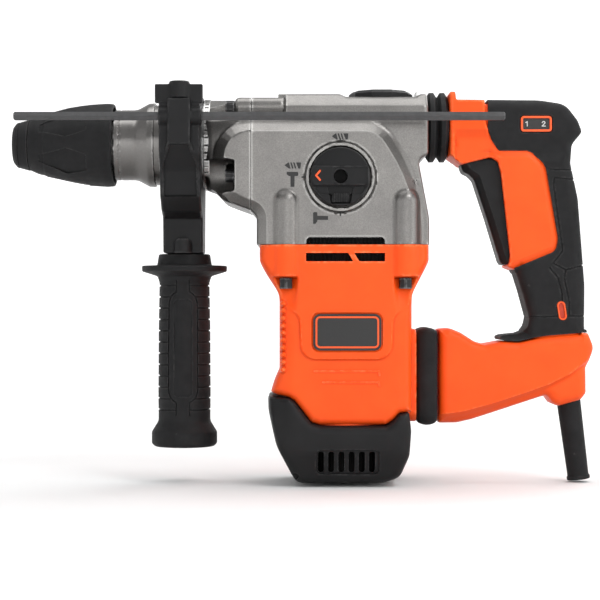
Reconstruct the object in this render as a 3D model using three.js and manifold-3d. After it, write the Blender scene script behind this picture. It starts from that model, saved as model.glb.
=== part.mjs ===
// A corded rotary hammer with an upright motor, a slotted-shank tool holder, a swinging side handle
// with a depth rod, and a rear handle on a vibration damper. Millimetres, +Z up.
// The origin is the centre of the flat base under the motor. +X runs back along the spindle to the rear
// handle, so the tool holder points along -X. The mode dial is on the -Y side.
import * as THREE from "three";
import { mergeVertices } from "three/addons/utils/BufferGeometryUtils.js";
import Module from "manifold-3d";

const wasm = await Module();
wasm.setup();

// ---------------------------------------------------------------- driving dimensions
const AXIS_Z = 226.5; // height of the spindle axis
const GAP = 0.3; // between pieces that touch
const SEAM_X = -62.3; // front housing meets gear housing
const DECK_Z = 158.6; // gear housing meets motor housing
const BODY_HALF = 43; // half width of the gear housing's side faces
const RIB_X = [-39.5, 38.5]; // screw ribs along the body
const RIB_Y = 38;
const RIB_R = 8.8;
const RIB_TOP = 191;
const RIB_FOOT = 137;
const CLAMP_R = 26.8; // barrel under the side-handle clamp
const DIAL = { x: -4.1, z: 202.2, r: 19.1 };
const CAP = { x: 24, r: 21.5 }; // grease cap, right above the crank
const BELLOWS = { z: 238.4, r: 23.4, front: 54.1, back: 68.7 };
const SWAY = { x: 55, z: 71.5 }; // lower pivot of the rear handle
const HANDLE_HALF = 17.5;
const ARM_HALF = 22;
const OVERMOLD_HALF = 19.3;
const TRIGGER_PIN = { x: 116.5, z: 150.6 };
const ROD = { y: -52, z: 240.9, flats: 6.4, front: -215.3, back: 103.5 };
const GRIP_X = -108.3; // axis of the side grip
const MODULE = 0.8; // spur gears
const PINION = { teeth: 8 };
const CRANK = { teeth: 52, x: 24, throw: 10 };
const LAYSHAFT = { teeth: 40, x: -19.2 };
const GEAR_Z = [168.5, 175.5];
const BEVEL = { pinion: 9, ring: 40, module: 1.3, face: 7 };
const STATOR = { z: [70, 116], bore: 22.5, r: 35.6 };
const BRUSH_Z = 48;
const CYLINDER_R = 13.1; // bore of the hammer tube

// ---------------------------------------------------------------- materials
const finish = (color, roughness, metalness = 0) =>
  new THREE.MeshStandardMaterial({ color, roughness, metalness });
const cast = finish(0x9a9896, 0.55, 0.8);
const orange = finish(0xf4611c, 0.5);
const black = finish(0x2b2b2b, 0.6);
const rubber = finish(0x1f1f20, 0.85);
const steel = finish(0x6f7072, 0.35, 1);
const darkSteel = finish(0x3a3b3d, 0.4, 0.9);
const copper = finish(0xb46a3c, 0.4, 0.9);
const carbon = finish(0x242424, 0.7);
const brass = finish(0xb59a56, 0.35, 1);

// ---------------------------------------------------------------- geometry helpers
// A three.js geometry as a manifold solid, turned to face out.
function solid(geometry) {
  const bare = geometry.index ? geometry.toNonIndexed() : geometry.clone();
  const points = new THREE.BufferGeometry().setAttribute("position", bare.getAttribute("position"));
  const merged = mergeVertices(points, 1e-4);
  const index = merged.index.array;
  const triangles = [];
  for (let i = 0; i < index.length; i += 3) {
    const [a, b, c] = [index[i], index[i + 1], index[i + 2]];
    if (a !== b && b !== c && c !== a) triangles.push(a, b, c);
  }
  const build = (order) =>
    new wasm.Manifold(
      new wasm.Mesh({
        numProp: 3,
        vertProperties: merged.attributes.position.array,
        triVerts: new Uint32Array(order),
      }),
    );
  const made = build(triangles);
  if (made.volume() > 0) return made;
  const flipped = [];
  for (let i = 0; i < triangles.length; i += 3) flipped.push(triangles[i], triangles[i + 2], triangles[i + 1]);
  return build(flipped);
}

// A manifold solid as a three.js geometry.
function surface(manifold) {
  const mesh = manifold.getMesh();
  const position = new Float32Array(mesh.numVert * 3);
  for (let i = 0; i < mesh.numVert; i++)
    position.set(mesh.vertProperties.subarray(i * mesh.numProp, i * mesh.numProp + 3), i * 3);
  return new THREE.BufferGeometry()
    .setAttribute("position", new THREE.BufferAttribute(position, 3))
    .setIndex(new THREE.BufferAttribute(mesh.triVerts, 1));
}

const join = (...solids) => solids.reduce((a, b) => a.add(b));
const cut = (from, ...tools) => tools.reduce((a, b) => a.subtract(b), from);
const common = (...solids) => solids.reduce((a, b) => a.intersect(b));

// A closed outline from its corners [a, b, radius], each corner rounded by an arc.
function rounded(corners, stepDegrees = 30) {
  const points = [];
  corners.forEach(([x, y, r = 0], i) => {
    const here = new THREE.Vector2(x, y);
    const [px, py] = corners[(i + corners.length - 1) % corners.length];
    const [nx, ny] = corners[(i + 1) % corners.length];
    const back = new THREE.Vector2(px - x, py - y);
    const ahead = new THREE.Vector2(nx - x, ny - y);
    const half = Math.acos(THREE.MathUtils.clamp(back.dot(ahead) / back.length() / ahead.length(), -1, 1)) / 2;
    const room = Math.min(back.length(), ahead.length()) * 0.49;
    const reach = Math.min(r / Math.tan(half), room);
    if (r === 0 || half > 1.55 || reach < 1e-3) {
      points.push(here);
      return;
    }
    const start = here.clone().addScaledVector(back.normalize(), reach);
    const end = here.clone().addScaledVector(ahead.normalize(), reach);
    const turn = Math.PI - 2 * half;
    const steps = Math.max(1, Math.round((turn * 180) / Math.PI / stepDegrees));
    const radius = reach * Math.tan(half);
    const centre = here.clone().addScaledVector(
      back.clone().add(ahead).normalize(),
      radius / Math.sin(half),
    );
    const from = Math.atan2(start.y - centre.y, start.x - centre.x);
    let sweep = Math.atan2(end.y - centre.y, end.x - centre.x) - from;
    if (sweep > Math.PI) sweep -= 2 * Math.PI;
    if (sweep < -Math.PI) sweep += 2 * Math.PI;
    for (let k = 0; k <= steps; k++) {
      const angle = from + (sweep * k) / steps;
      points.push(new THREE.Vector2(centre.x + radius * Math.cos(angle), centre.y + radius * Math.sin(angle)));
    }
  });
  return points;
}

// From one distance to another on the left (-1) or right (1) of the middle plane.
const sided = (side, from, to) => (side < 0 ? [-to, -from] : [from, to]);

const box4 = (a0, a1, b0, b1, r = 0) => [[a0, b0, r], [a1, b0, r], [a1, b1, r], [a0, b1, r]];
const circle = (a, b, r, n = 24, start = 0) =>
  Array.from({ length: n }, (_, i) => {
    const t = start + (i * 2 * Math.PI) / n;
    return new THREE.Vector2(a + r * Math.cos(t), b + r * Math.sin(t));
  });

// An outline pushed out by a distance, corner by corner.
function grown(points, distance) {
  const sign = THREE.ShapeUtils.isClockWise(points) ? -1 : 1;
  return points.map((p, i) => {
    const before = points[(i + points.length - 1) % points.length];
    const after = points[(i + 1) % points.length];
    const a = new THREE.Vector2(p.y - before.y, before.x - p.x).normalize();
    const b = new THREE.Vector2(after.y - p.y, p.x - after.x).normalize();
    const middle = a.clone().add(b).normalize();
    const reach = Math.min(distance / Math.max(middle.dot(a), 0.3), distance * 2);
    return p.clone().addScaledVector(middle, sign * reach);
  });
}

function extruded(points, depth, bevel) {
  const flat = Array.isArray(points[0]) ? rounded(points) : points;
  const options = bevel
    ? { depth: depth - 2 * bevel, bevelThickness: bevel, bevelSize: bevel, bevelOffset: -bevel, bevelSegments: 2 }
    : { depth, bevelEnabled: false };
  return new THREE.ExtrudeGeometry(new THREE.Shape(flat), options).translate(0, 0, bevel || 0);
}

const ACROSS = new THREE.Matrix4().makeBasis(
  new THREE.Vector3(0, 1, 0),
  new THREE.Vector3(0, 0, 1),
  new THREE.Vector3(1, 0, 0),
);
// Slabs: an outline in the plane across an axis, from one coordinate to another.
const slabY = (points, y0, y1, bevel) =>
  solid(extruded(points, y1 - y0, bevel).rotateX(Math.PI / 2).translate(0, y1, 0));
const slabZ = (points, z0, z1, bevel) => solid(extruded(points, z1 - z0, bevel).translate(0, 0, z0));
const slabX = (points, x0, x1, bevel) =>
  solid(extruded(points, x1 - x0, bevel).applyMatrix4(ACROSS).translate(x0, 0, 0));

// Turned solids: [position along the axis, radius] all round a closed loop.
function turned(profile, segments = 28) {
  const loop = [...profile, profile[0]].map(([along, r]) => new THREE.Vector2(Math.max(r, 0), along));
  return new THREE.LatheGeometry(loop, segments);
}
const turnedX = (profile, segments, y = 0, z = AXIS_Z) =>
  solid(turned(profile, segments).rotateZ(-Math.PI / 2).translate(0, y, z));
const turnedZ = (profile, segments, x = 0, y = 0) =>
  solid(turned(profile, segments).rotateX(Math.PI / 2).translate(x, y, 0));
const turnedY = (profile, segments, x = 0, z = 0) => solid(turned(profile, segments).translate(x, 0, z));
const rodX = (x0, x1, r, y, z, n = 20) => turnedX([[x0, 0], [x0, r], [x1, r], [x1, 0]], n, y, z);
const rodY = (y0, y1, r, x, z, n = 20) => turnedY([[y0, 0], [y0, r], [y1, r], [y1, 0]], n, x, z);
const rodZ = (z0, z1, r, x, y, n = 20) => turnedZ([[z0, 0], [z0, r], [z1, r], [z1, 0]], n, x, y);
const ringZ = (z0, z1, inner, outer, n = 28, x = 0, y = 0) =>
  turnedZ([[z0, inner], [z0, outer], [z1, outer], [z1, inner]], n, x, y);
const ringX = (x0, x1, inner, outer, n = 32) =>
  turnedX([[x0, inner], [x0, outer], [x1, outer], [x1, inner]], n);

// A solid through rings of points. A ring may shrink to one point; looped joins the last ring to the first.
function through(rings, looped = false) {
  const position = [];
  const count = rings[0].length;
  const pairs = looped ? rings.length : rings.length - 1;
  for (let k = 0; k < pairs; k++) {
    const [low, high] = [rings[k], rings[(k + 1) % rings.length]];
    for (let i = 0; i < count; i++) {
      const j = (i + 1) % count;
      for (const p of [low[i], low[j], high[j], low[i], high[j], high[i]]) position.push(p.x, p.y, p.z);
    }
  }
  return solid(new THREE.BufferGeometry().setAttribute("position", new THREE.Float32BufferAttribute(position, 3)));
}

// A superellipse ring across X: half width across Y, half height across Z, power 2 is an ellipse.
function ovalAcrossX({ x, z, halfY, halfZ, power = 2 }, n = 32) {
  const bend = (v) => Math.sign(v) * Math.abs(v) ** (2 / power);
  return Array.from({ length: n }, (_, i) => {
    const t = (i * 2 * Math.PI) / n;
    return new THREE.Vector3(x, halfY * bend(Math.cos(t)), z + halfZ * bend(Math.sin(t)));
  });
}
function loftX(sections, n = 32) {
  const rings = sections.map((s) => ovalAcrossX(s, n));
  const point = (s) => Array(n).fill(new THREE.Vector3(s.x, 0, s.z));
  return through([point(sections[0]), ...rings, point(sections.at(-1))]);
}

// A coil spring of round wire along an axis-aligned line.
function coil(start, axis, length, radius, wire, turns, sides = 4, stepsPerTurn = 10) {
  class Helix extends THREE.Curve {
    getPoint(t) {
      const angle = t * turns * 2 * Math.PI;
      const [c, s] = [radius * Math.cos(angle), radius * Math.sin(angle)];
      const along = wire + t * (length - 2 * wire);
      return axis === "x"
        ? new THREE.Vector3(start.x + along, start.y + c, start.z + s)
        : new THREE.Vector3(start.x + c, start.y + s, start.z + along);
    }
  }
  return solid(
    new THREE.ExtrudeGeometry(new THREE.Shape(circle(0, 0, wire, sides)), {
      steps: turns * stepsPerTurn,
      extrudePath: new Helix(),
    }),
  );
}

// ---------------------------------------------------------------- gears
const involute = (angle) => Math.tan(angle) - angle;
const PRESSURE = THREE.MathUtils.degToRad(20);
const BACKLASH = 0.12; // taken off each flank
const ADDENDUM = 0.8; // stub teeth, in modules
const DEDENDUM = 1.05;

// Half the tooth's width at a height above the pitch circle of radius r.
function halfTooth(teeth, r, height) {
  const base = r * Math.cos(PRESSURE);
  const at = Math.max(r + height, base);
  const roll = Math.acos(Math.min(1, base / at));
  return (Math.PI / 2 / teeth + involute(PRESSURE) - involute(roll)) * (r + height) - BACKLASH;
}
const TOOTH_HEIGHTS = [-DEDENDUM, ADDENDUM];

// A spur gear's outline. phase is the angle of a tooth's centre.
function spurOutline(teeth, phase) {
  const r = (teeth * MODULE) / 2;
  const points = [];
  for (let i = 0; i < teeth; i++) {
    const middle = phase + (i * 2 * Math.PI) / teeth;
    const flank = TOOTH_HEIGHTS.map((h) => [r + h * MODULE, halfTooth(teeth, r, h * MODULE) / (r + h * MODULE)]);
    for (const [radius, half] of flank)
      points.push(new THREE.Vector2(radius * Math.cos(middle - half), radius * Math.sin(middle - half)));
    for (const [radius, half] of flank.reverse())
      points.push(new THREE.Vector2(radius * Math.cos(middle + half), radius * Math.sin(middle + half)));
  }
  return points;
}
const moved = (points, x, y) => points.map((p) => new THREE.Vector2(p.x + x, p.y + y));

// Rings of a bevel gear's teeth about an apex at the origin, its axis along +Z away from the apex.
function bevelRings(teeth, mate, phase) {
  const cone = Math.atan2(teeth, mate);
  const far = (BEVEL.module * Math.hypot(teeth, mate)) / 2;
  const virtualR = (teeth * BEVEL.module) / 2 / Math.cos(cone);
  const ring = [];
  for (let i = 0; i < teeth; i++) {
    const middle = phase + (i * 2 * Math.PI) / teeth;
    const put = (h, side) => {
      const height = h * BEVEL.module;
      const along = far * Math.cos(cone) - height * Math.sin(cone);
      const radius = far * Math.sin(cone) + height * Math.cos(cone);
      const half = halfTooth(teeth / Math.cos(cone), virtualR, height) / radius;
      const angle = middle + side * half;
      ring.push(new THREE.Vector3(radius * Math.cos(angle), radius * Math.sin(angle), along));
    };
    for (const h of TOOTH_HEIGHTS) put(h, -1);
    for (const h of [...TOOTH_HEIGHTS].reverse()) put(h, 1);
  }
  const inner = ring.map((p) => p.clone().multiplyScalar((far - BEVEL.face) / far));
  return { ring, inner };
}
const circleRing = (ring, radius, along) =>
  ring.map((p) => {
    const angle = Math.atan2(p.y, p.x);
    return new THREE.Vector3(radius * Math.cos(angle), radius * Math.sin(angle), along);
  });
const place = (rings, matrix) => rings.map((ring) => ring.map((p) => p.clone().applyMatrix4(matrix)));

// ---------------------------------------------------------------- assembly
const model = new THREE.Group();
function add(name, material, manifold) {
  const mesh = new THREE.Mesh(surface(manifold), material);
  mesh.name = name;
  model.add(mesh);
}

// ---- gear housing, front housing and what fastens them
const BODY_SIDE = [
  [SEAM_X, 258.9, 0], [-4.1, 259.2, 2], [0, 256.5, 2], [45.9, 256.5, 2], [49.3, 259.2, 1], [53.7, 259.2, 1],
  [53.7, 217.5, 3], [47.2, 214.5, 4], [50.6, 200, 20], [54.3, 176, 20], [54.3, DECK_Z, 0],
  [-58.4, DECK_Z, 0], [-58.4, 176, 6], [SEAM_X, 180.9, 0],
];
const BODY_FRONT = [
  [-BODY_HALF, 150, 0], [BODY_HALF, 150, 0], [BODY_HALF, 232, 5], [35.5, 239.5, 3], [34, 250, 4], [23, 259.4, 6],
  [-23, 259.4, 6], [-34, 250, 4], [-35.5, 239.5, 3], [-BODY_HALF, 232, 5],
];
const BODY_PLAN = box4(-58.5, 54.5, -BODY_HALF, BODY_HALF, 12);
const RING_SCREWS = [
  { name: "upper_left", y: -26.5, z: 249.3 },
  { name: "lower_left", y: -33.5, z: 203.6 },
  { name: "lower_right", y: 33.5, z: 203.6 },
  { name: "upper_right", y: 26.5, z: 249.3 },
];
const RIBS = RIB_X.flatMap((x, i) => [
  { name: `${i ? "rear" : "front"}_left`, x, y: -RIB_Y },
  { name: `${i ? "rear" : "front"}_right`, x, y: RIB_Y },
]);

function gearHousing() {
  const shell = common(
    slabY(BODY_SIDE, -48, 48),
    slabX(BODY_FRONT, -70, 60),
    join(slabZ(BODY_PLAN, 150, 240), slabZ(box4(-70, 60, -BODY_HALF, BODY_HALF), 176, 270)),
  );
  const ribs = RIBS.map(({ x, y }) =>
    turnedZ([[DECK_Z, 0], [DECK_Z, RIB_R], [RIB_TOP - 2, RIB_R], [RIB_TOP + 4, 4], [RIB_TOP + 4, 0]], 16, x, y),
  );
  const bosses = RING_SCREWS.map(({ y, z }) => rodX(SEAM_X, -44, 6.2, y, z, 12));
  const crankRoom = slabZ(box4(-54, 49, -37, 37, 8), 150, 201);
  const cylinderRoom = rodX(-70, 44, 30.4, 0, AXIS_Z, 32);
  const rearWall = slabX(box4(-60, 60, 190, 260), 42.5, 60);
  const capBore = rodZ(230, 270, CAP.r - 4, CAP.x, 0, 28);
  const dialBore = rodY(-60, -25, 13.4, DIAL.x, DIAL.z, 28);
  const ventSlot = slabY(box4(-26.5, 25, DECK_Z - 1, 163.4, 1.5), -60, 60);
  const screwHoles = RIBS.map(({ x, y }) => rodZ(150, RIB_TOP - 8, 2.9, x, y, 8));
  const ringHoles = RING_SCREWS.map(({ y, z }) => rodX(-70, -46.5, 2.9, y, z, 8));
  const springSeat = rodX(48.5, 60, 11, 0, BELLOWS.z, 24);
  return cut(
    join(shell, ...ribs, ...bosses),
    crankRoom,
    cut(cylinderRoom, rearWall),
    capBore, dialBore, ventSlot, ...screwHoles, ...ringHoles, springSeat,
  );
}

const ROUND = 28; // sides of the large turned faces
const BARREL = [
  [-154.6, 20.3], [-154.6, 23.6], [-140, 23.6], [-131.5, 28], [-127.3, 28.4], [-127.3, CLAMP_R],
  [-93.9, CLAMP_R], [-93.9, 30], [-90, 30], [-90, 20.3],
];
function frontHousing() {
  const barrel = turnedX(BARREL, ROUND);
  const nose = loftX(
    [
      { x: -93.9, z: AXIS_Z, halfY: 29.9, halfZ: 29.9 },
      { x: -85, z: 225, halfY: 35, halfZ: 32, power: 2.4 },
      { x: -75, z: 221.6, halfY: 40, halfZ: 37, power: 3.2 },
      { x: SEAM_X - GAP, z: 219.9, halfY: 41, halfZ: 39, power: 4 },
    ],
    ROUND,
  );
  const bore = turnedX([[-160, 0], [-160, 20.3], [-95, 20.3], [-78, 30.4], [-60, 30.4], [-60, 0]], ROUND);
  const pockets = RING_SCREWS.map(({ y, z }) => rodX(-100, -73.2, 5.6, y, z, 12));
  const bosses = RING_SCREWS.map(({ y, z }) => rodX(-73.2, SEAM_X - GAP, 6.2, y, z, 12));
  const holes = RING_SCREWS.map(({ y, z }) => rodX(-100, -60, 2.9, y, z, 8));
  return cut(join(barrel, cut(nose, ...pockets), ...bosses), bore, ...holes);
}

// A cap screw: a head with a socket, and a plain shank. Built along +Z from the head's face.
function screw(headR, headL, shankR, length) {
  return turned(
    [[0, 0], [0, headR], [headL, headR], [headL, shankR], [length, shankR], [length, 0]],
    10,
  ).rotateX(Math.PI / 2);
}
function addScrews() {
  for (const { name, y, z } of RING_SCREWS)
    add(
      `housing_screw_${name}`,
      darkSteel,
      solid(screw(4.4, 6, 2.3, 32).rotateY(Math.PI / 2).translate(-79.5, y, z)),
    );
  for (const { name, x, y } of RIBS)
    add(`motor_screw_${name}`, darkSteel, solid(screw(4.4, 7, 2.3, 50).translate(x, y, 129.5)));
}

// ---- motor housing and base cap
const CAP_EDGE = [[-50.3, 60.5], [-37.5, 58.2], [-34, 55.9], [-23, 41.9], [-17.2, 40.2], [25.9, 40.2], [30.4, 43.2],
  [34.4, 47.7], [43, 48.9]];
const MOTOR_SIDE = [
  [-58.4, DECK_Z - GAP, 0], [54.3, DECK_Z - GAP, 0], [54.3, 147.8, 5], [44.5, 126, 10], [44.2, 48.9 + GAP, 0],
  ...CAP_EDGE.slice(0, 8).reverse().map(([x, z]) => [x, z + 1.6 * GAP, 1.5]),
  [-50.9, 61.5, 0], [-43.9, 77, 6], [-43.9, 126, 8], [-58.4, 148, 6],
];
const BASE_SIDE = [
  [-52.2, 59.5, 1], ...CAP_EDGE.slice(1, 8).map(([x, z]) => [x, z, 1.5]),
  [42.5, 48.9, 1.5], [44.1, 36.5, 10], [42.6, 20, 12], [36.3, 5.8, 10], [24, 0, 14],
  [-29.4, 0, 2], [-33, 2, 2], [-46, 27, 20], [-51.6, 50, 10],
];
const motorPlan = (halfX, halfY, r) => box4(-halfX, halfX, -halfY, halfY, r);
function motorHousing() {
  const upper = slabZ(motorPlan(58.5, 46, 16), 120, DECK_Z);
  const waist = slabZ(motorPlan(52, 44, 20), 30, 130);
  const shell = common(slabY(MOTOR_SIDE, -50, 50), join(upper, waist));
  const ribs = RIBS.map(({ x, y }) =>
    turnedZ([[RIB_FOOT, 0], [RIB_FOOT, RIB_R], [DECK_Z - GAP, RIB_R], [DECK_Z - GAP, 0]], 16, x, y),
  );
  const can = rodZ(26, 70, 38.3, 0, 0, ROUND);
  const arm = join(slabX(box4(-22, 22, 41.6, 101.6, 8), 44.6, 48), slabX(box4(-22, 22, 52, 101.6, 8), 38, 47));
  const ears = [-1, 1].map((side) =>
    slabY([[40, SWAY.z - 8, 0], [SWAY.x, SWAY.z - 6, 0], [SWAY.x + 5, SWAY.z, 3], [SWAY.x, SWAY.z + 6, 0],
      [40, SWAY.z + 8, 0]], ...sided(side, 10, 14)),
  );
  const bore = rodZ(31, 170, 36, 0, 0, ROUND);
  const fanRoom = rodZ(138, 170, 37.4, 0, 0, ROUND);
  const bearingSeat = rodZ(20, 40, 9.7, 0, 0, 24);
  const clearance = RIBS.map(({ x, y }) => rodZ(110, RIB_FOOT - 0.3, 5.4, x, y, 12));
  const screwHoles = RIBS.map(({ x, y }) => rodZ(120, 170, 2.9, x, y, 8));
  const vents = [[-26.5, 3], [6, 25]].map(([x0, x1]) => slabY(box4(x0, x1, 147.6, 152.8), -60, 60));
  const brushDoors = [-1, 1].map((side) => rodY(...sided(side, 13, 37), 4.2, 0, BRUSH_Z, 14));
  return cut(
    join(shell, ...ribs, can, arm, ...ears),
    bore, fanRoom, bearingSeat, ...clearance, ...screwHoles, ...vents, ...brushDoors,
    rodY(-20, 20, 3.4, SWAY.x, SWAY.z, 16),
  );
}
function baseCap() {
  const ends = slabX([[-45, 62, 0], [-45, 22, 12], [-37, 0, 9], [37, 0, 9], [45, 22, 12], [45, 62, 0]], -60, 60);
  const outer = common(slabY(BASE_SIDE, -46, 46), ends, slabZ(motorPlan(53, 45, 22), -1, 62));
  const hollow = rodZ(4, 70, 38.9, 0, 0, ROUND);
  const slots = Array.from({ length: 6 }, (_, i) => -17 + i * 6.9).flatMap((x) =>
    [[-50, -30], [30, 50]].map(([y0, y1]) => slabY(box4(x - 1.5, x + 1.5, 9, 23), y0, y1)),
  );
  const front = slabY([[-48, 60, 0], [-30, 60, 0], [-30, 20, 0], [-40, 26, 0]], -30, 30);
  const ring = slabZ(motorPlan(60, 50, 3), 26, 62);
  const rims = common(ring, slabZ(circle(0, 0, 39, ROUND), 20, 62));
  return cut(outer, hollow, rims, common(front, rodZ(4, 70, 41, 0, 0, ROUND)), ...slots);
}

// ---- motor inside
function addMotor() {
  const [coreFoot, coreTop] = STATOR.z;
  const poles = cut(ringZ(coreFoot, coreTop, STATOR.bore, STATOR.r, ROUND), slabZ(box4(-9, 9, -30, 30), 60, 120));
  add("stator_core", steel, join(poles, ringZ(coreFoot, coreTop, 28, STATOR.r, ROUND)));
  add("stator_winding", copper, ringZ(coreTop + 1, coreTop + 10, 24, 33, 24));
  const pinion = slabZ(spurOutline(PINION.teeth, 0), 166, GEAR_Z[1] + 1);
  add("armature_shaft", steel, join(rodZ(24, GEAR_Z[0] - 1, 4, 0, 0, 16), pinion));
  add("armature_core", darkSteel, armatureCore());
  add("commutator", copper, ringZ(40, 56, 4.3, 12, 24));
  add("cooling_fan", black, coolingFan());
  add("upper_bearing", steel, ringZ(160, 166, 4.3, 10.5, 24));
  add("lower_bearing", steel, ringZ(24.5, 30.7, 4.3, 9.4, 24));
  add("bearing_plate", cast, bearingPlate());
  for (const [name, side] of [["left", -1], ["right", 1]]) {
    add(`carbon_brush_${name}`, carbon, rodY(...sided(side, 12.4, 24), 2.4, 0, BRUSH_Z, 12));
    const tube = rodY(...sided(side, 14.5, 34), 3.9, 0, BRUSH_Z, 14);
    add(`brush_holder_${name}`, brass, cut(tube, rodY(...sided(side, 10, 30), 2.9, 0, BRUSH_Z, 14)));
  }
}
function armatureCore() {
  const slots = Array.from({ length: 10 }, (_, i) => {
    const slot = extruded(box4(16, 25, -1.4, 1.4), 80).rotateZ((i * Math.PI) / 5).translate(0, 0, 50);
    return solid(slot);
  });
  return cut(ringZ(68, 118, 4.3, 21.6, 30), ...slots);
}
function coolingFan() {
  const blades = Array.from({ length: 10 }, (_, i) => {
    const blade = extruded(box4(10, 34, -0.8, 0.8), 9).rotateZ((i * Math.PI) / 5).translate(0, 0, 142);
    return solid(blade);
  });
  return join(ringZ(139.5, 142.3, 4.3, 35, 24), ringZ(139.5, 152, 4.3, 11, 16), ...blades);
}
function bearingPlate() {
  const plate = slabZ(box4(-53.6, 48.6, -36.6, 36.6, 8), DECK_Z + 1, 165.5);
  const room = rodZ(150, 168, 10.8, 0, 0, 24);
  const shaftSeats = [rodZ(160.5, 170, 4.4, CRANK.x, 0, 16), rodZ(160.5, 170, 4.4, LAYSHAFT.x, 0, 16)];
  const screwNotches = RIBS.map(({ x, y }) => rodZ(150, 170, 2.7, x, y, 8));
  return cut(plate, room, ...shaftSeats, ...screwNotches);
}

// ---- gear train, crank and hammer mechanism
function addGears() {
  const halfPitch = (teeth) => Math.PI / teeth;
  const crankTeeth = moved(spurOutline(CRANK.teeth, Math.PI + halfPitch(CRANK.teeth)), CRANK.x, 0);
  add("crank_gear", steel, join(
    slabZ(crankTeeth, ...GEAR_Z),
    rodZ(161, 207, 4, CRANK.x, 0, 16),
    rodZ(GEAR_Z[1] - 1, GEAR_Z[1] + 3, 9, CRANK.x, 0, 20),
    rodZ(204, 212, 14, CRANK.x, 0, 28),
    rodZ(210, AXIS_Z - 4.5, 3.4, CRANK.x - CRANK.throw, 0, 14),
  ));
  const layTeeth = moved(spurOutline(LAYSHAFT.teeth, halfPitch(LAYSHAFT.teeth)), LAYSHAFT.x, 0);
  add("intermediate_gear", steel, cut(slabZ(layTeeth, ...GEAR_Z), rodZ(160, 180, 4.3, LAYSHAFT.x, 0, 16)));
  const apex = new THREE.Matrix4().makeTranslation(LAYSHAFT.x, 0, AXIS_Z);
  const down = apex.clone().multiply(new THREE.Matrix4().makeRotationX(Math.PI));
  const small = bevelRings(BEVEL.pinion, BEVEL.ring, Math.PI);
  const heelZ = small.ring[0].z + 1.4;
  const tip = (ring, along) => ring.map(() => new THREE.Vector3(0, 0, along));
  const head = through(place(
    [tip(small.ring, heelZ), circleRing(small.ring, 4.6, heelZ), small.ring, small.inner,
      tip(small.inner, small.inner[0].z)],
    down,
  ));
  add("bevel_pinion", steel, join(
    rodZ(161, 201, 4, LAYSHAFT.x, 0, 16),
    rodZ(176, 180, 7, LAYSHAFT.x, 0, 16),
    head,
  ));
  const forward = apex.clone().multiply(new THREE.Matrix4().makeRotationY(-Math.PI / 2));
  const large = bevelRings(BEVEL.ring, BEVEL.pinion, Math.PI / BEVEL.ring);
  const back = [circleRing(large.ring, 26, 12.5), circleRing(large.ring, 17.3, 12.5)];
  add("bevel_ring_gear", steel, through(place([large.ring, ...back, large.inner], forward), true));
}
const SPINDLE = [
  [-219, 5.1], [-219, 11], [-208, 11], [-208, 13.5], [-158, 13.5], [-158, 15.5], [-112, 15.5], [-112, 17],
  [-4, 17], [-4, CYLINDER_R], [-112, CYLINDER_R], [-112, 8.4], [-146, 8.4], [-146, 5.1],
];
function addHammer() {
  const ballHole = rodZ(AXIS_Z, AXIS_Z + 20, 3.9, -190, 0, 14);
  add("spindle", steel, cut(turnedX(SPINDLE, 24), ballHole));
  add("locking_ball", steel, solid(new THREE.SphereGeometry(3.5, 12, 8).translate(-190, 0, AXIS_Z + 10.4)));
  add("impact_bolt", steel, turnedX(
    [[-151, 0], [-151, 4.6], [-141.6, 4.7], [-139.8, 7.9], [-122, 7.9], [-119, 6], [-115, 6], [-115, 0]], 20));
  const pistonR = CYLINDER_R - 0.5;
  add("striker", steel, turnedX(
    [[-104, 0], [-104, 7.9], [-100.4, 7.9], [-98, pistonR], [-78, pistonR], [-78, 0]], 24));
  const piston = cut(
    turnedX([[-48, 0], [-48, pistonR], [-18, pistonR], [-18, 10], [-40, 10], [-40, 0]], 24),
    rodY(-20, 20, 2.9, -24, AXIS_Z, 12),
  );
  add("piston", steel, piston);
  const rod = join(
    slabY([[-24, AXIS_Z - 4, 0], [13, AXIS_Z - 4, 0], [13, AXIS_Z + 4, 0], [-24, AXIS_Z + 4, 0]], -3, 3),
    rodY(-4, 4, 5, -24, AXIS_Z, 16),
    rodZ(AXIS_Z - 4, AXIS_Z + 4, 7.5, CRANK.x - CRANK.throw, 0, 20),
  );
  add("connecting_rod", steel, join(
    cut(rod, rodZ(200, 250, 4, CRANK.x - CRANK.throw, 0, 14)),
    rodY(-11.8, 11.8, 2.4, -24, AXIS_Z, 12),
  ));
  add("spindle_bearing", steel, ringX(-126, -114.5, 15.9, 19.8, 24));
}

// ---- tool holder
function addChuck() {
  add("nose_cap", rubber, turnedX(
    [[-224.8, 6.5], [-224.8, 12], [-222.5, 14.6], [-212.4, 17.2], [-212.4, 13.8], [-215, 11.3],
      [-219.4, 11.3], [-219.4, 6.5]], 24));
  const sleeve = [
    [-212.1, 14.3], [-212.1, 17.3], [-204, 20.2], [-192, 24], [-182, 26.6], [-155.2, 28],
    [-155.2, 25.8], [-184, 22.5], [-184, 17.4], [-196, 17.4], [-196, 14.3],
  ];
  add("locking_sleeve", rubber, turnedX(sleeve, ROUND));
  add("sleeve_spring", steel, coil({ x: -183, y: 0, z: AXIS_Z }, "x", 24, 16.2, 1.1, 4));
}

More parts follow.
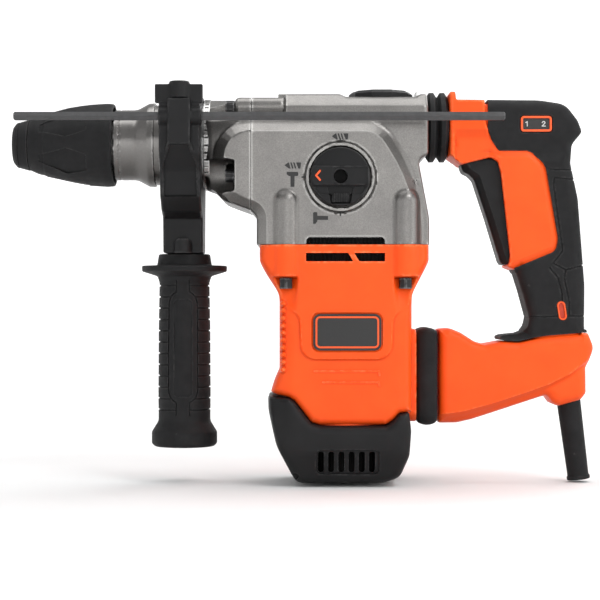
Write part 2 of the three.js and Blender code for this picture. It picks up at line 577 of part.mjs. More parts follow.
// ---- mode dial, grease cap, badge
function addControls() {
  const { x, z, r } = DIAL;
  const flatBar = slabY(box4(x - 17.5, x + 17.5, z - 5.8, z + 6.8, 1), -51.5, -47);
  const disc = cut(
    turnedY([[-48, 0], [-49, r - 1], [-48, r], [-43.3, r], [-43.3, 13], [-27, 13], [-27, 0]].reverse(), 24, x, z),
    slabY(box4(x - 6, x + 6, z - r - 1, z - 10.3), -60, -44),
  );
  add("mode_dial", black, cut(join(disc, flatBar), rodY(-60, -46, 4.2, x, z, 16)));
  add("dial_lock_button", black, slabY(box4(x - 5.6, x + 5.6, z - 16.6, z - 10.8, 0.8), -49.4, -46));
  add("grease_cap", black, turnedZ(
    [[245, 0], [245, CAP.r - 4.4], [256.8, CAP.r - 4.4], [256.8, CAP.r], [257.6, CAP.r], [261, CAP.r - 3.5],
      [262.2, 8], [262.2, 0]], 10, CAP.x, 0));
  add("badge_plate", black, slabY(box4(-21.8, 22.6, 89.3, 113.1, 4), -45.3, -44.3));
}

// ---- rear handle
const SHELL_SIDE = [
  [69.2, 262.2, 0.5], [74.6, 262.2, 1], [75.9, 257.5, 0.5], [95, 257.2, 0], [95.3, 254.7, 0], [131, 254.3, 30],
  [147.8, 252, 10], [155.6, 242, 6], [158.3, 235, 1.5], [151.5, 227, 8], [150.5, 213.3, 8], [155.6, 189.7, 30],
  [160.2, 132.3, 30], [159.6, 100.4, 0], [164.2, 100.2, 0], [167.1, 90.5, 5], [164.7, 81.7, 4], [162.8, 77, 1],
  [163, 60.1, 4], [159.3, 55.4, 4], [142.4, 51.3, 5], [137.7, 53.3, 2], [133.7, 58.7, 3], [106, 49.6, 30],
  [84.4, 42.5, 20], [74.2, 40.2, 10], [62.1, 40.2, 0], [62.1, 102.6, 0], [69.5, 103.3, 6], [76.3, 100.6, 8],
  [85.7, 94.5, 8], [92.5, 92.6, 5], [104.6, 94.8, 1], [115.4, 94, 2], [127, 96.9, 0], [127, 110, 6],
  [122.6, 128.9, 20], [117.6, 142.2, 1], [109.5, 143.6, 1], [110.5, 144.9, 0], [112.4, 146.6, 1], [112.9, 151.9, 2],
  [106.5, 205.9, 12], [104, 214.7, 4], [99.2, 216.9, 4], [77.5, 212.3, 1], [72.2, 216.7, 2], [69.2, 218.4, 0],
];
const HANDLE_ROOM = [
  [71.5, 254], [92, 254], [131, 251.4], [145.6, 249.4], [152.4, 241.4], [154.5, 235.6], [148.6, 228], [147.6, 213.3],
  [152.7, 189.5], [157.2, 132], [156.6, 98], [160.5, 91], [160, 60], [142, 55], [131, 62], [105, 53], [84, 46],
  [66, 44], [66, 99], [75, 97.5], [84.8, 91.2], [92.5, 89.4], [104.5, 91.5], [115, 91], [130, 94.4], [130, 110],
  [125.6, 129], [119.5, 145], [113, 147], [100, 146], [90, 205], [78.1, 205], [78.1, 217.6], [74, 221], [71.5, 221],
];
const OVERMOLD_SIDE = [
  [95.6, 257.2, 0], [131.6, 256.8, 40], [149.2, 254.5, 12], [158, 243, 6], [160.7, 234.9, 1.5], [153.9, 226.8, 8],
  [152.9, 213.3, 8], [158, 189.7, 40], [162.7, 132.3, 30], [162, 105, 1], [164.4, 102.8, 1], [164.4, 100.8, 0],
  [135, 98.6, 0], [127, 97.5, 0], [115.4, 94.8, 2], [108, 94.9, 1], [104.3, 95.7, 1], [104, 98, 1], [106.7, 99.2, 2],
  [119.8, 102.4, 8], [124.5, 110, 6], [120.2, 128.9, 20], [116, 142, 0], [143.1, 153.9, 8], [144.5, 162, 4],
  [136.4, 210.6, 14], [125.6, 222.4, 8], [101.9, 222.4, 3], [97.9, 234.2, 3], [95.9, 243, 3],
];
const GUARD_TILT = THREE.MathUtils.degToRad(7.3);
const guardPlace = (geometry) => solid(geometry.rotateY(-GUARD_TILT).translate(150.4, 0, 57));
const LOWER_ARM = SHELL_SIDE.slice(15, 33).concat([[104.4, 94.6, 0], [115.4, 94, 2], [127, 96.7, 0], [147.8, 98.3, 0],
  [158, 99.2, 0]]);
function handleShell(side) {
  const flange = [[69.2, 262.2, 0.5], [74.6, 262.2, 1], [75.9, 257.5, 0.5], [94.8, 257.2, 0], [94.8, 216.5, 0],
    [77.5, 212.3, 1], [72.2, 216.7, 2], [69.2, 218.4, 0]];
  const body = join(
    slabY(SHELL_SIDE, ...sided(side, 0.15, HANDLE_HALF)),
    slabY(flange, ...sided(side, 0.15, 20.5)),
    slabY(LOWER_ARM, ...sided(side, 0.15, ARM_HALF)),
  );
  const tongueSide = [[66, SWAY.z - 9, 0], [66, SWAY.z + 9, 0], [SWAY.x, SWAY.z + 5.5, 0],
    [SWAY.x - 4.5, SWAY.z, 3], [SWAY.x, SWAY.z - 5.5, 0]];
  const tongue = slabY(tongueSide, ...sided(side, 0.15, 9.4));
  const room = slabY(HANDLE_ROOM, ...sided(side, -1, 14.8));
  const guardHole = guardPlace(turned([[-20, 0], [-20, 8.4], [12, 8.4], [12, 0]], 20).rotateX(Math.PI / 2));
  const pins = [rodY(-20, 20, 3.4, SWAY.x, SWAY.z, 16), rodY(-17, 17, 2.5, TRIGGER_PIN.x, TRIGGER_PIN.z, 12)];
  return cut(join(cut(body, room), tongue), guardHole, ...pins);
}
function gripOvermold(side) {
  const skin = slabY(OVERMOLD_SIDE, ...sided(side, 0.15, OVERMOLD_HALF));
  const core = slabY(grown(rounded(SHELL_SIDE), GAP), ...sided(side, -1, HANDLE_HALF + GAP));
  const arm = slabY(grown(rounded(LOWER_ARM), GAP), ...sided(side, -1, 30));
  return cut(skin, core, arm);
}
function addHandle() {
  add("handle_shell_left", orange, handleShell(-1));
  add("handle_shell_right", orange, handleShell(1));
  add("grip_overmold_left", rubber, gripOvermold(-1));
  add("grip_overmold_right", rubber, gripOvermold(1));
  add("sway_pin", steel, rodY(-16, 16, 3, SWAY.x, SWAY.z, 16));
  add("switch_module", black, slabY([[120, 168, 1], [140, 166, 1], [142, 204, 1], [124, 204, 1]], -11, 11));
  add("indicator_lens", black, slabY(box4(116.6, 138, 234.2, 244.2, 1.5), -20.3, -19.6));
  const guard = [[-56, 4.4], [-56, 7.7], [-54, 7.7], [-53, 7.1], [0, 8], [6, 8], [6, 10], [10, 10], [10, 4.4]];
  add("cord_guard", rubber, guardPlace(turned(guard, 24).rotateX(Math.PI / 2)));
  const trigger = [[78.6, 217, 0], [78.6, 212.6, 1], [80.3, 209.2, 2], [84, 207.4, 3], [87.4, 203.9, 6],
    [95.9, 178.2, 20],
    [104.6, 147.8, 2], [106.3, 145.9, 1], [109, 145.9, 1], [113.5, 147.5, 1], [120, 147.5, 3], [120, 154, 3],
    [113.4, 155, 2], [110, 206, 3], [107, 217, 3]];
  add("trigger", black, join(slabY(trigger, -13.6, 13.6), rodY(-16.6, 16.6, 1.9, TRIGGER_PIN.x, TRIGGER_PIN.z, 12)));
}

// ---- vibration damper: upper bellows and spring, lower band
function addDamper() {
  const { z, r, front, back } = BELLOWS;
  const middle = (front + back) / 2;
  const outer = [[front, r - 2], [front + 2.4, r], [middle - 2.4, r], [middle, r - 3], [middle + 2.4, r],
    [back - 2.4, r], [back, r - 2]];
  add("bellows", rubber, turnedX([...outer, [back, r - 5.5], [front, r - 5.5]], ROUND, 0, z));
  add("handle_spring", steel, coil({ x: 49, y: 0, z }, "x", 19.5, 8.5, 1.2, 4));
  const band = (grow) => box4(-24 + grow, 24 - grow, 39.1 + grow, 103.8 - grow, 9 - grow);
  add("damper_band", rubber, cut(slabX(band(0), 48.4, 60.9, 1.5), slabX(band(3.2), 40, 70)));
}

// ---- side handle: bracket, clamp band, grip, depth rod and its wing knob
const acrossFlats = (flats) => circle(ROD.y, ROD.z, flats / 2 / Math.cos(Math.PI / 6), 6, 0);
function sideBracket() {
  const side = [
    [-59, 252, 1], [-45, 252, 1], [-40, 243, 4], [-20, 252, 6], [0, 259.5, 12], [20, 252, 10], [32, 236, 12],
    [33.5, 215, 14], [21, 196, 6], [16, 180, 3], [16, 153.5, 1], [-16, 153.5, 1], [-16, 176, 3], [-26, 186, 3],
    [-38, 191, 4], [-40, 200, 6], [-59, 220, 3],
  ];
  const plan = box4(-124, -95, -70, 70);
  const column = common(slabX(side, -124, -95), slabZ(plan, 150, 262));
  const bosses = rodX(-126, -97.5, 6, ROD.y, ROD.z, 18);
  const bore = rodX(-130, -90, 28.9, 0, AXIS_Z, ROUND);
  const hexHole = slabX(acrossFlats(ROD.flats + 0.8), -140, -80);
  const knobHole = rodZ(243, 260, 2.9, GRIP_X, ROD.y, 12);
  const studHole = rodZ(150, 185, 4.3, GRIP_X, 0, 14);
  return cut(join(column, bosses), bore, hexHole, knobHole, studHole);
}
function addSideHandle() {
  add("side_bracket", black, sideBracket());
  add("clamp_band", steel, ringX(-123.5, -94.6, CLAMP_R + 0.35, 28.5, ROUND));
  const grip = turnedZ(
    [[153, 0], [153, 16.8], [145.4, 18.3], [145.2, 28.7], [141.6, 28.7], [138.5, 18.2], [135, 16.4], [100, 17.2],
      [60, 17.3], [42, 16.8], [34, 22], [25.2, 22], [23.8, 20.5], [23.8, 0]].reverse(), 24, GRIP_X, 0);
  add("side_grip", rubber, join(grip, rodZ(150, 178, 4, GRIP_X, 0, 14)));
  add("depth_rod", darkSteel, slabX(acrossFlats(ROD.flats), ROD.front, ROD.back));
  const wing = slabZ(box4(GRIP_X - 15.8, GRIP_X + 15.2, ROD.y - 3.2, ROD.y + 3.2, 1), 252.5, 261.5);
  add("wing_knob", black, join(
    turnedZ([[252.3, 0], [252.3, 6.6], [262, 6.6], [263.2, 4], [263.4, 0]], 20, GRIP_X, ROD.y),
    wing,
    rodZ(244.8, 253, 2.5, GRIP_X, ROD.y, 12),
  ));
}

// ---------------------------------------------------------------- the tool
add("gear_housing", cast, gearHousing());
add("front_housing", cast, frontHousing());
addScrews();
add("motor_housing", orange, motorHousing());
add("base_cap", black, baseCap());
addMotor();
addGears();
addHammer();
addChuck();
addControls();
addHandle();
addDamper();
addSideHandle();

export default model;
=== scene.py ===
"""The looks of a rotary hammer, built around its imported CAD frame.

Lengths are in millimetres until a mesh is made.
"""
import math

import bpy
import numpy as np
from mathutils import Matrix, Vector
from numpy import clip, hypot, maximum, minimum


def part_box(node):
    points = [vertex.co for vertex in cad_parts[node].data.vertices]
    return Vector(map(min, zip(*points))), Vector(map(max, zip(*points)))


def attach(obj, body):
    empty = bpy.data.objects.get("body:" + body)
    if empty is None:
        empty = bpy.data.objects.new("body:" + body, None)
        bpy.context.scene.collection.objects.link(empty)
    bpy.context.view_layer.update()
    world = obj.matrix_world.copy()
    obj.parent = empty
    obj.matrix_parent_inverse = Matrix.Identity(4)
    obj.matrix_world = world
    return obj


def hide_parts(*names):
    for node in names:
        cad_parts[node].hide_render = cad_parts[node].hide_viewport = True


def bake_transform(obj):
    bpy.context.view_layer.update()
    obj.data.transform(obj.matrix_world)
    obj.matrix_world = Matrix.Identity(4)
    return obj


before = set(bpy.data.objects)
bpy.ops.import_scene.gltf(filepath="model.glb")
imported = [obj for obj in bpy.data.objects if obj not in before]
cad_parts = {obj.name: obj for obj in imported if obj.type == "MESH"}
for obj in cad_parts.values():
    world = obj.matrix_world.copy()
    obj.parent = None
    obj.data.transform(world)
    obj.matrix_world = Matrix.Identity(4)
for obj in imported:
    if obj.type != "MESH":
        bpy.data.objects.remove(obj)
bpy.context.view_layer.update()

MM = 0.001
COARSE = 1.0  # how much larger a voxel is while trying things
SIDES = (("left", -1), ("right", 1))
SHARP_DEGREES = 34  # an edge that turns more is shaded sharp


# ---------------------------------------------------------------- places, from the frame
def span(node, axis):
    """A CAD node's lowest and highest coordinate along an axis, in millimetres."""
    low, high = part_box(node)
    return low[axis] / MM, high[axis] / MM


def middle(node, axis):
    return sum(span(node, axis)) / 2


AXIS_Z = middle("spindle", 2)
DIAL_X, DIAL_Z = middle("mode_dial", 0), middle("mode_dial", 2)
DIAL_R = (span("mode_dial", 0)[1] - span("mode_dial", 0)[0]) / 2
FACE_Y = -43.0  # the gear housing's flat side
SEAM_X = span("gear_housing", 0)[0]
DECK_Z = span("gear_housing", 2)[0]
GRIP_X = middle("side_grip", 0)
ROD_Y, ROD_Z = middle("depth_rod", 1), middle("depth_rod", 2)
CAP_X = middle("grease_cap", 0)
BELLOWS_Z = middle("bellows", 2)
SCREWS_SIDE = [(26.5, 249.3), (33.5, 203.6)]  # the ring screws' |y| and z
SCREW_ROOM = 2.9  # the radius of the bores round the shanks of screws
POCKET_X = (-93, -73.2)  # the pockets of the ring screws' heads
RIBS_X = [middle("motor_screw_front_left", 0), middle("motor_screw_rear_left", 0)]
RIB_Y = middle("motor_screw_front_right", 1)
RIB_R = 8.9
CYLINDER_R = 30.4  # the room of the spindle and the hammer mechanism
SWAY_PIN = (55, 71.5)  # x and z of the pin that the handle sways on
TRIGGER_PIN = (116.5, 150.6)


# ---------------------------------------------------------------- outlines
def rounded(corners, step_degrees=12):
    """A closed outline from its corners (a, b, radius), each corner turned into an arc."""
    points = []
    for i, corner in enumerate(corners):
        here = Vector(corner[:2])
        radius = corner[2] if len(corner) > 2 else 0
        back = Vector(corners[i - 1][:2]) - here
        ahead = Vector(corners[(i + 1) % len(corners)][:2]) - here
        half = back.angle(ahead) / 2
        reach = min(radius / math.tan(half), min(back.length, ahead.length) * 0.49)
        if reach < 1e-3 or half > 1.55:
            points.append(tuple(here))
            continue
        back.normalize()
        ahead.normalize()
        radius = reach * math.tan(half)
        centre = here + (back + ahead).normalized() * radius / math.sin(half)
        start, end = here + back * reach - centre, here + ahead * reach - centre
        turn = math.atan2(start.x * end.y - start.y * end.x, start.dot(end))
        count = max(2, round(abs(math.degrees(turn)) / step_degrees))
        for k in range(count + 1):
            angle = math.atan2(start.y, start.x) + turn * k / count
            points.append((centre.x + radius * math.cos(angle), centre.y + radius * math.sin(angle)))
    return points


def mirrored(half):
    """An outline's corners from the ones on its right side, in their order round it."""
    return half + [(-corner[0], *corner[1:]) for corner in reversed(half)]


def box4(a0, a1, b0, b1, r=0):
    return [(a0, b0, r), (a1, b0, r), (a1, b1, r), (a0, b1, r)]


def outline(corners):
    """The signed distance to a closed outline, negative inside, as a function of two coordinates."""
    points = rounded(corners)

    def distance(a, b):
        best, flips = None, None
        for (x0, y0), (x1, y1) in zip(points, points[1:] + points[:1]):
            ex, ey = x1 - x0, y1 - y0
            wx, wy = a - x0, b - y0
            t = clip((wx * ex + wy * ey) / max(ex * ex + ey * ey, 1e-12), 0, 1)
            d = (wx - ex * t) ** 2 + (wy - ey * t) ** 2
            above, below, left = wy >= 0, b < y1, ex * wy > ey * wx
            flip = np.where(left, above & below, ~above & ~below)
            best = d if best is None else minimum(best, d)
            flips = flip if flips is None else flips ^ flip
        return np.where(flips, -1.0, 1.0) * np.sqrt(best)

    return distance


def path_distance(points, a, b):
    """The distance to an open line of points."""
    best = None
    for (x0, y0), (x1, y1) in zip(points, points[1:]):
        ex, ey = x1 - x0, y1 - y0
        wx, wy = a - x0, b - y0
        t = clip((wx * ex + wy * ey) / (ex * ex + ey * ey), 0, 1)
        d = hypot(wx - ex * t, wy - ey * t)
        best = d if best is None else minimum(best, d)
    return best


# ---------------------------------------------------------------- fields
def both(a, b, edge=0.0):
    """Inside both fields, with the edge between them rounded to a radius."""
    if not edge:
        return maximum(a, b)
    u, v = a + edge, b + edge
    return minimum(maximum(u, v), 0) + hypot(maximum(u, 0), maximum(v, 0)) - edge


def either(a, b, fillet=0.0):
    """Inside one field or the other, with a fillet between them."""
    return -both(-a, -b, fillet)


def cut(a, b, edge=0.0):
    return both(a, -b, edge)


def between(v, low, high):
    return np.abs(v - (low + high) / 2) - (high - low) / 2


def chamfered(a, b, size):
    """Inside both fields, with a flat chamfer between them."""
    return maximum(maximum(a, b), (a + b + size) / math.sqrt(2))


def block(a, a0, a1, b, b0, b1, edge=0.0):
    """Between two limits in each of two coordinates, its corners rounded."""
    return both(between(a, a0, a1), between(b, b0, b1), edge)


def rod(a, b, a0, b0, r):
    return hypot(a - a0, b - b0) - r


def from_axis(y, z):
    """The distance from the axis of the spindle."""
    return hypot(y, z - AXIS_Z)


def eased(share):
    """A share from 0 to 1 that starts and ends slowly."""
    return share * share * (3 - 2 * share)


# ---------------------------------------------------------------- meshes from fields
FOUR_ROUND = [(-1, -1), (0, -1), (0, 0), (-1, 0)]  # the four cells round a grid edge


def slope(field, p, h=0.02):
    """The field's unit gradient at points."""
    parts = []
    for axis in range(3):
        step = np.zeros(3)
        step[axis] = h
        ahead, back = (p + step).T, (p - step).T
        parts.append(field(*ahead) - field(*back))
    g = np.stack(np.broadcast_arrays(*parts), axis=-1)
    return g / maximum(np.linalg.norm(g, axis=1, keepdims=True), 1e-9)


def contour(field, low, high, step):
    """Points and quads of the surface where a field is zero, by dual contouring on a grid."""
    axes = [np.arange(a - 2 * step, b + 2.5 * step, step) for a, b in zip(low, high)]
    shape = [len(a) for a in axes]
    grid = field(axes[0][:, None, None], axes[1][None, :, None], axes[2][None, None, :])
    values = np.broadcast_to(grid, shape).copy()
    for axis in range(3):
        for side in (0, -1):
            rim = [slice(None)] * 3
            rim[axis] = side
            values[tuple(rim)] = maximum(values[tuple(rim)], 0.01)
    inside = values < 0
    origin = np.array([a[0] for a in axes])
    points, quads = [], []
    for axis in range(3):
        near, far = [slice(None)] * 3, [slice(None)] * 3
        near[axis], far[axis] = slice(0, -1), slice(1, None)
        at = np.argwhere(inside[tuple(near)] != inside[tuple(far)])
        ahead = at.copy()
        ahead[:, axis] += 1
        v0, v1 = values[tuple(at.T)], values[tuple(ahead.T)]
        p = at.astype(float)
        p[:, axis] += v0 / (v0 - v1)
        points.append(origin + p * step)
        b, c = (axis + 1) % 3, (axis + 2) % 3
        ring = []
        for db, dc in FOUR_ROUND:
            cell = at.copy()
            cell[:, b] += db
            cell[:, c] += dc
            ring.append(np.ravel_multi_index(tuple(cell.T), shape))
        ring = np.stack(ring, axis=1)
        ring[v0 > 0] = ring[v0 > 0][:, ::-1]
        quads.append(ring)
    p, quads = np.concatenate(points), np.concatenate(quads)
    cells, ids = np.unique(quads, return_inverse=True)
    ids = ids.reshape(quads.shape)
    normals = slope(field, p)
    count = len(cells)

    def gathered(values_of_edge):
        return sum(np.bincount(ids[:, k], values_of_edge, count) for k in range(4))

    share = gathered(np.ones(len(p)))
    mass = np.stack([gathered(p[:, a]) for a in range(3)], axis=1) / share[:, None]
    pull = 0.08  # how strongly a point keeps to the middle of its crossings
    along = (normals * p).sum(1)
    matrix = np.empty((count, 3, 3))
    for a in range(3):
        for b in range(a, 3):
            matrix[:, a, b] = matrix[:, b, a] = gathered(normals[:, a] * normals[:, b])
    right = np.stack([gathered(normals[:, a] * along) for a in range(3)], axis=1) + pull * mass
    found = np.linalg.solve(matrix + pull * np.eye(3), right[:, :, None])[:, :, 0]
    corner = origin + np.stack(np.unravel_index(cells, shape), axis=1) * step
    found = clip(found, corner, corner + step)
    return found, ids


def mesh_object(name, points, faces, sharp=SHARP_DEGREES):
    """A smooth-shaded object from points in millimetres and faces of one size."""
    mesh = bpy.data.meshes.new(name)
    mesh.vertices.add(len(points))
    mesh.vertices.foreach_set("co", (np.asarray(points) * MM).astype(np.float32).ravel())
    faces = np.asarray(faces, np.int32)
    mesh.loops.add(faces.size)
    mesh.loops.foreach_set("vertex_index", faces.ravel())
    mesh.polygons.add(len(faces))
    mesh.polygons.foreach_set("loop_start", np.arange(0, faces.size, faces.shape[1], dtype=np.int32))
    mesh.update(calc_edges=True)
    mesh.validate()
    mesh.shade_smooth()
    mesh.set_sharp_from_angle(angle=math.radians(sharp))
    obj = bpy.data.objects.new(name, mesh)
    bpy.context.scene.collection.objects.link(obj)
    return obj


def dress(obj, material, body=None, replaces=()):
    obj.data.materials.clear()
    obj.data.materials.append(material)
    if body:
        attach(obj, body)
    if replaces:
        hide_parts(*replaces)
    return obj


def piece(name, field, material, body, step, like=None, low=None, high=None, replaces=None):
    """A piece from a field. like is the CAD node whose box it fills and which it stands for."""
    if like:
        box_low, box_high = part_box(like)
        low = low or tuple(v / MM for v in box_low)
        high = high or tuple(v / MM for v in box_high)
        replaces = (like,) if replaces is None else replaces
    points, faces = contour(field, low, high, step * COARSE)
    obj = mesh_object(name, points, faces)
    return dress(obj, material, body, replaces or ())


# ---------------------------------------------------------------- materials
class Finish:
    """A node material: a principled shader fed from noise in object space."""

    def __init__(self, name, slot):
        self.material = bpy.data.materials.new(name)
        self.material.use_nodes = True
        self.tree = self.material.node_tree
        self.shader = self.tree.nodes["Principled BSDF"]
        self.place = self.node("ShaderNodeTexCoord").outputs["Object"]

    def node(self, kind, inputs=None, **settings):
        made = self.tree.nodes.new(kind)
        for key, value in settings.items():
            setattr(made, key, value)
        for key, value in (inputs or {}).items():
            self.feed(made.inputs[key], value)
        return made

    def feed(self, socket, value):
        if isinstance(value, bpy.types.NodeSocket):
            self.tree.links.new(value, socket)
        else:
            socket.default_value = value

    def noise(self, size, detail=3.0, rough=0.6, stretch=None):
        """Noise whose features are about size millimetres across."""
        place = self.place
        if stretch:
            mapping = self.node("ShaderNodeMapping", {"Vector": place, "Scale": stretch})
            place = mapping.outputs[0]
        return self.node(
            "ShaderNodeTexNoise",
            {"Vector": place, "Scale": 1 / (size * MM), "Detail": detail, "Roughness": rough},
        ).outputs[0]

    def ranged(self, value, low, high, to_low=0.0, to_high=1.0):
        return self.node(
            "ShaderNodeMapRange",
            {"Value": value, "From Min": low, "From Max": high, "To Min": to_low, "To Max": to_high},
        ).outputs[0]

    def math(self, operation, a, b):
        return self.node("ShaderNodeMath", {0: a, 1: b}, operation=operation).outputs[0]

    def times(self, a, b):
        return self.math("MULTIPLY", a, b)

    def mix(self, factor, a, b):
        made = self.node("ShaderNodeMix", data_type="RGBA")
        for socket, value in zip((made.inputs[0], made.inputs[6], made.inputs[7]), (factor, a, b)):
            self.feed(socket, value)
        return made.outputs[2]

    def edges(self, width=0.035):
        """1 on convex edges, 0 on flats."""
        pointiness = self.node("ShaderNodeNewGeometry").outputs["Pointiness"]
        return self.ranged(pointiness, 0.5 + width * 0.25, 0.5 + width)

    def hollows(self):
        """1 in concave corners, 0 on flats."""
        pointiness = self.node("ShaderNodeNewGeometry").outputs["Pointiness"]
        return self.ranged(pointiness, 0.5 - 0.04 * 0.2, 0.5 - 0.04)

    def underside(self):
        """1 where a surface faces down, 0 where it faces the side or up."""
        normal = self.node("ShaderNodeNewGeometry").outputs["Normal"]
        up = self.node("ShaderNodeSeparateXYZ", {"Vector": normal}).outputs[2]
        return self.ranged(up, -0.1, -0.9)

    def bump(self, height, depth, below=None):
        inputs = {"Height": height, "Distance": depth * MM, "Strength": 1.0}
        if below is not None:
            inputs["Normal"] = below
        return self.node("ShaderNodeBump", inputs).outputs[0]

    def done(self, color, roughness, metallic, normal, **others):
        self.feed(self.shader.inputs["Base Color"], color)
        self.feed(self.shader.inputs["Roughness"], roughness)
        self.feed(self.shader.inputs["Metallic"], metallic)
        self.feed(self.shader.inputs["Normal"], normal)
        for key, value in others.items():
            self.feed(self.shader.inputs[key.replace("_", " ")], value)
        return self.material


def rgb(red, green, blue):
    """A linear colour from sRGB bytes."""
    parts = [v / 255 for v in (red, green, blue)]
    return (*[v / 12.92 if v <= 0.04045 else ((v + 0.055) / 1.055) ** 2.4 for v in parts], 1)


def darker(tone, share):
    return (*[share * v for v in tone[:3]], 1)


def cast_metal():
    """Blasted aluminium casting: a fine speckle, edges painted brighter, partly rubbed by use and partly a
    painted highlight, and painted shade in the corners and below.
    """
    f = Finish("cast_alloy", "cast")
    cloud = f.ranged(f.noise(18, 3), 0.25, 0.75)
    speck = f.ranged(f.noise(0.8, 4, 0.7), 0.3, 0.7)
    color = f.mix(cloud, rgb(130, 128, 126), rgb(144, 142, 139))
    color = f.mix(f.times(speck, 0.5), color, rgb(88, 86, 84))
    # edges painted brighter: rubbed by use, and a painted highlight
    color = f.mix(f.times(f.edges(0.06), 0.45), color, rgb(196, 195, 192))
    # painted shade in concave corners
    color = f.mix(f.times(f.hollows(), 0.7), color, rgb(48, 46, 44))
    # painted shade on surfaces that face down
    color = f.mix(f.times(f.underside(), 0.75), color, rgb(52, 50, 48))
    rough = f.math("ADD", f.ranged(speck, 0, 1, 0.3, 0.44), f.times(f.edges(0.06), -0.1))
    normal = f.bump(f.noise(0.55, 3, 0.6), 0.08, f.bump(f.noise(2.6, 2), 0.06))
    return f.done(color, rough, 0.9, normal)


def machined_metal():
    """The turned barrel of the same casting, smoother, with lathe rings."""
    f = Finish("machined_alloy", "cast")
    rings = f.noise(0.5, 3, 0.6, stretch=(1, 0.05, 0.05))
    speck = f.ranged(f.noise(1.4, 4, 0.7), 0.35, 0.7)
    color = f.mix(f.times(speck, 0.2), rgb(132, 130, 128), rgb(96, 94, 92))
    # edges painted brighter: rubbed by use, and a painted highlight
    color = f.mix(f.times(f.edges(0.06), 0.4), color, rgb(214, 213, 211))
    # painted shade on surfaces that face down
    color = f.mix(f.times(f.underside(), 0.8), color, rgb(60, 58, 56))
    rough = f.ranged(f.math("ADD", rings, f.times(speck, 0.3)), 0.3, 1.0, 0.26, 0.38)
    return f.done(color, rough, 1.0, f.bump(rings, 0.01))


def moulded(name, slot, base, dark, rubbed_and_lit, gloss=(0.40, 0.52), shine=0.4):
    """Textured engineering plastic: fine grain, soft mottling, paler edges, partly rubbed by use and partly a
    painted highlight, and painted shade in hollows and below.
    """
    f = Finish(name, slot)
    cloud = f.ranged(f.noise(22, 3), 0.3, 0.7)
    color = f.mix(cloud, dark, base)
    # edges painted paler: rubbed by use, and a painted highlight
    rub_and_highlight = f.times(f.edges(0.05), f.ranged(f.noise(3.5, 4), 0.4, 0.62))
    color = f.mix(f.times(rub_and_highlight, 0.55), color, rubbed_and_lit)
    # painted shade in hollows and on surfaces that face down
    shaded = f.math("MAXIMUM", f.times(f.hollows(), 0.5), f.times(f.underside(), 0.6))
    color = f.mix(shaded, color, darker(dark, 0.45))
    grain = f.noise(0.4, 2, 0.55)
    rough = f.math("ADD", f.ranged(f.noise(6, 4), 0.3, 0.7, *gloss), f.times(rub_and_highlight, -0.08))
    normal = f.bump(grain, 0.03, f.bump(f.noise(9, 2), 0.04))
    return f.done(color, rough, 0.0, normal, Specular_IOR_Level=shine)


def rubber():
    """Matt thermoplastic rubber with an eroded surface."""
    f = Finish("soft_rubber", "rubber")
    color = f.mix(f.ranged(f.noise(14, 4), 0.3, 0.7), rgb(23, 23, 24), rgb(30, 30, 31))
    # edges painted paler, partly dusty and partly a painted highlight
    dust_and_highlight = f.times(f.edges(0.05), f.ranged(f.noise(2.5, 4), 0.35, 0.6))
    color = f.mix(f.times(dust_and_highlight, 0.35), color, rgb(76, 75, 74))
    rough = f.ranged(f.noise(5, 4), 0.3, 0.7, 0.58, 0.74)
    return f.done(color, rough, 0.0, f.bump(f.noise(0.42, 2), 0.045), Specular_IOR_Level=0.22)


def turned_steel(name, axis):
    """Machined steel with lathe rings round an axis, 0 for X to 2 for Z."""
    f = Finish(name, "steel")
    tone = rgb(172, 171, 169)
    stretch = [0.03, 0.03, 0.03]
    stretch[axis] = 1
    lines = f.noise(0.28, 2, 0.5, stretch)
    color = f.mix(f.ranged(f.noise(9, 4), 0.3, 0.7), darker(tone, 0.7), tone)
    # edges painted brighter: rubbed by use, and a painted highlight
    color = f.mix(f.times(f.edges(), 0.6), color, rgb(225, 225, 224))
    rough = f.ranged(lines, 0.3, 0.7, 0.22, 0.36)
    return f.done(color, rough, 1.0, f.bump(lines, 0.02))


def dark_metal(name, tone, gloss, metallic, wear_and_highlight=0.7):
    """Oxide-blackened steel, its edges painted brighter, partly rubbed by use and partly a painted highlight.
    """
    f = Finish(name, "dark_steel")
    color = f.mix(f.ranged(f.noise(5, 4), 0.3, 0.7), darker(tone, 0.75), tone)
    # edges painted brighter: rubbed by use, and a painted highlight
    rub_and_highlight = f.times(f.edges(0.03), f.ranged(f.noise(1.6, 3), 0.35, 0.6))
    color = f.mix(f.times(rub_and_highlight, wear_and_highlight), color, rgb(140, 140, 140))
    grain = f.noise(0.7, 3, stretch=(0.06, 1, 1))
    rough = f.ranged(grain, 0.3, 0.7, *gloss)
    return f.done(color, rough, metallic, f.bump(grain, 0.006))


def plain_metal(name, slot, tone):
    f = Finish(name, slot)
    color = f.mix(f.ranged(f.noise(4, 5), 0.3, 0.7), darker(tone, 0.65), tone)
    rough = f.ranged(f.noise(1.5, 4), 0.3, 0.7, 0.25, 0.4)
    return f.done(color, rough, 1.0, f.bump(f.noise(0.5, 3), 0.02))


def printed(name, slot, tone):
    """Ink or a moulded-in mark, slightly uneven."""
    f = Finish(name, slot)
    color = f.mix(f.ranged(f.noise(1.2, 4), 0.35, 0.75), tone, darker(tone, 0.82))
    rough = f.ranged(f.noise(0.8, 3), 0.3, 0.7, 0.35, 0.5)
    return f.done(color, rough, 0.0, f.bump(f.noise(0.4, 2), 0.01))


CAST = cast_metal()
MACHINED = machined_metal()
ORANGE = moulded(
    "orange_nylon", "orange", rgb(255, 88, 20), rgb(250, 82, 16), rgb(255, 150, 96), shine=0.25,
)
BLACK = moulded("black_nylon", "black", rgb(29, 29, 30), rgb(23, 23, 24), rgb(70, 70, 70), shine=0.2)
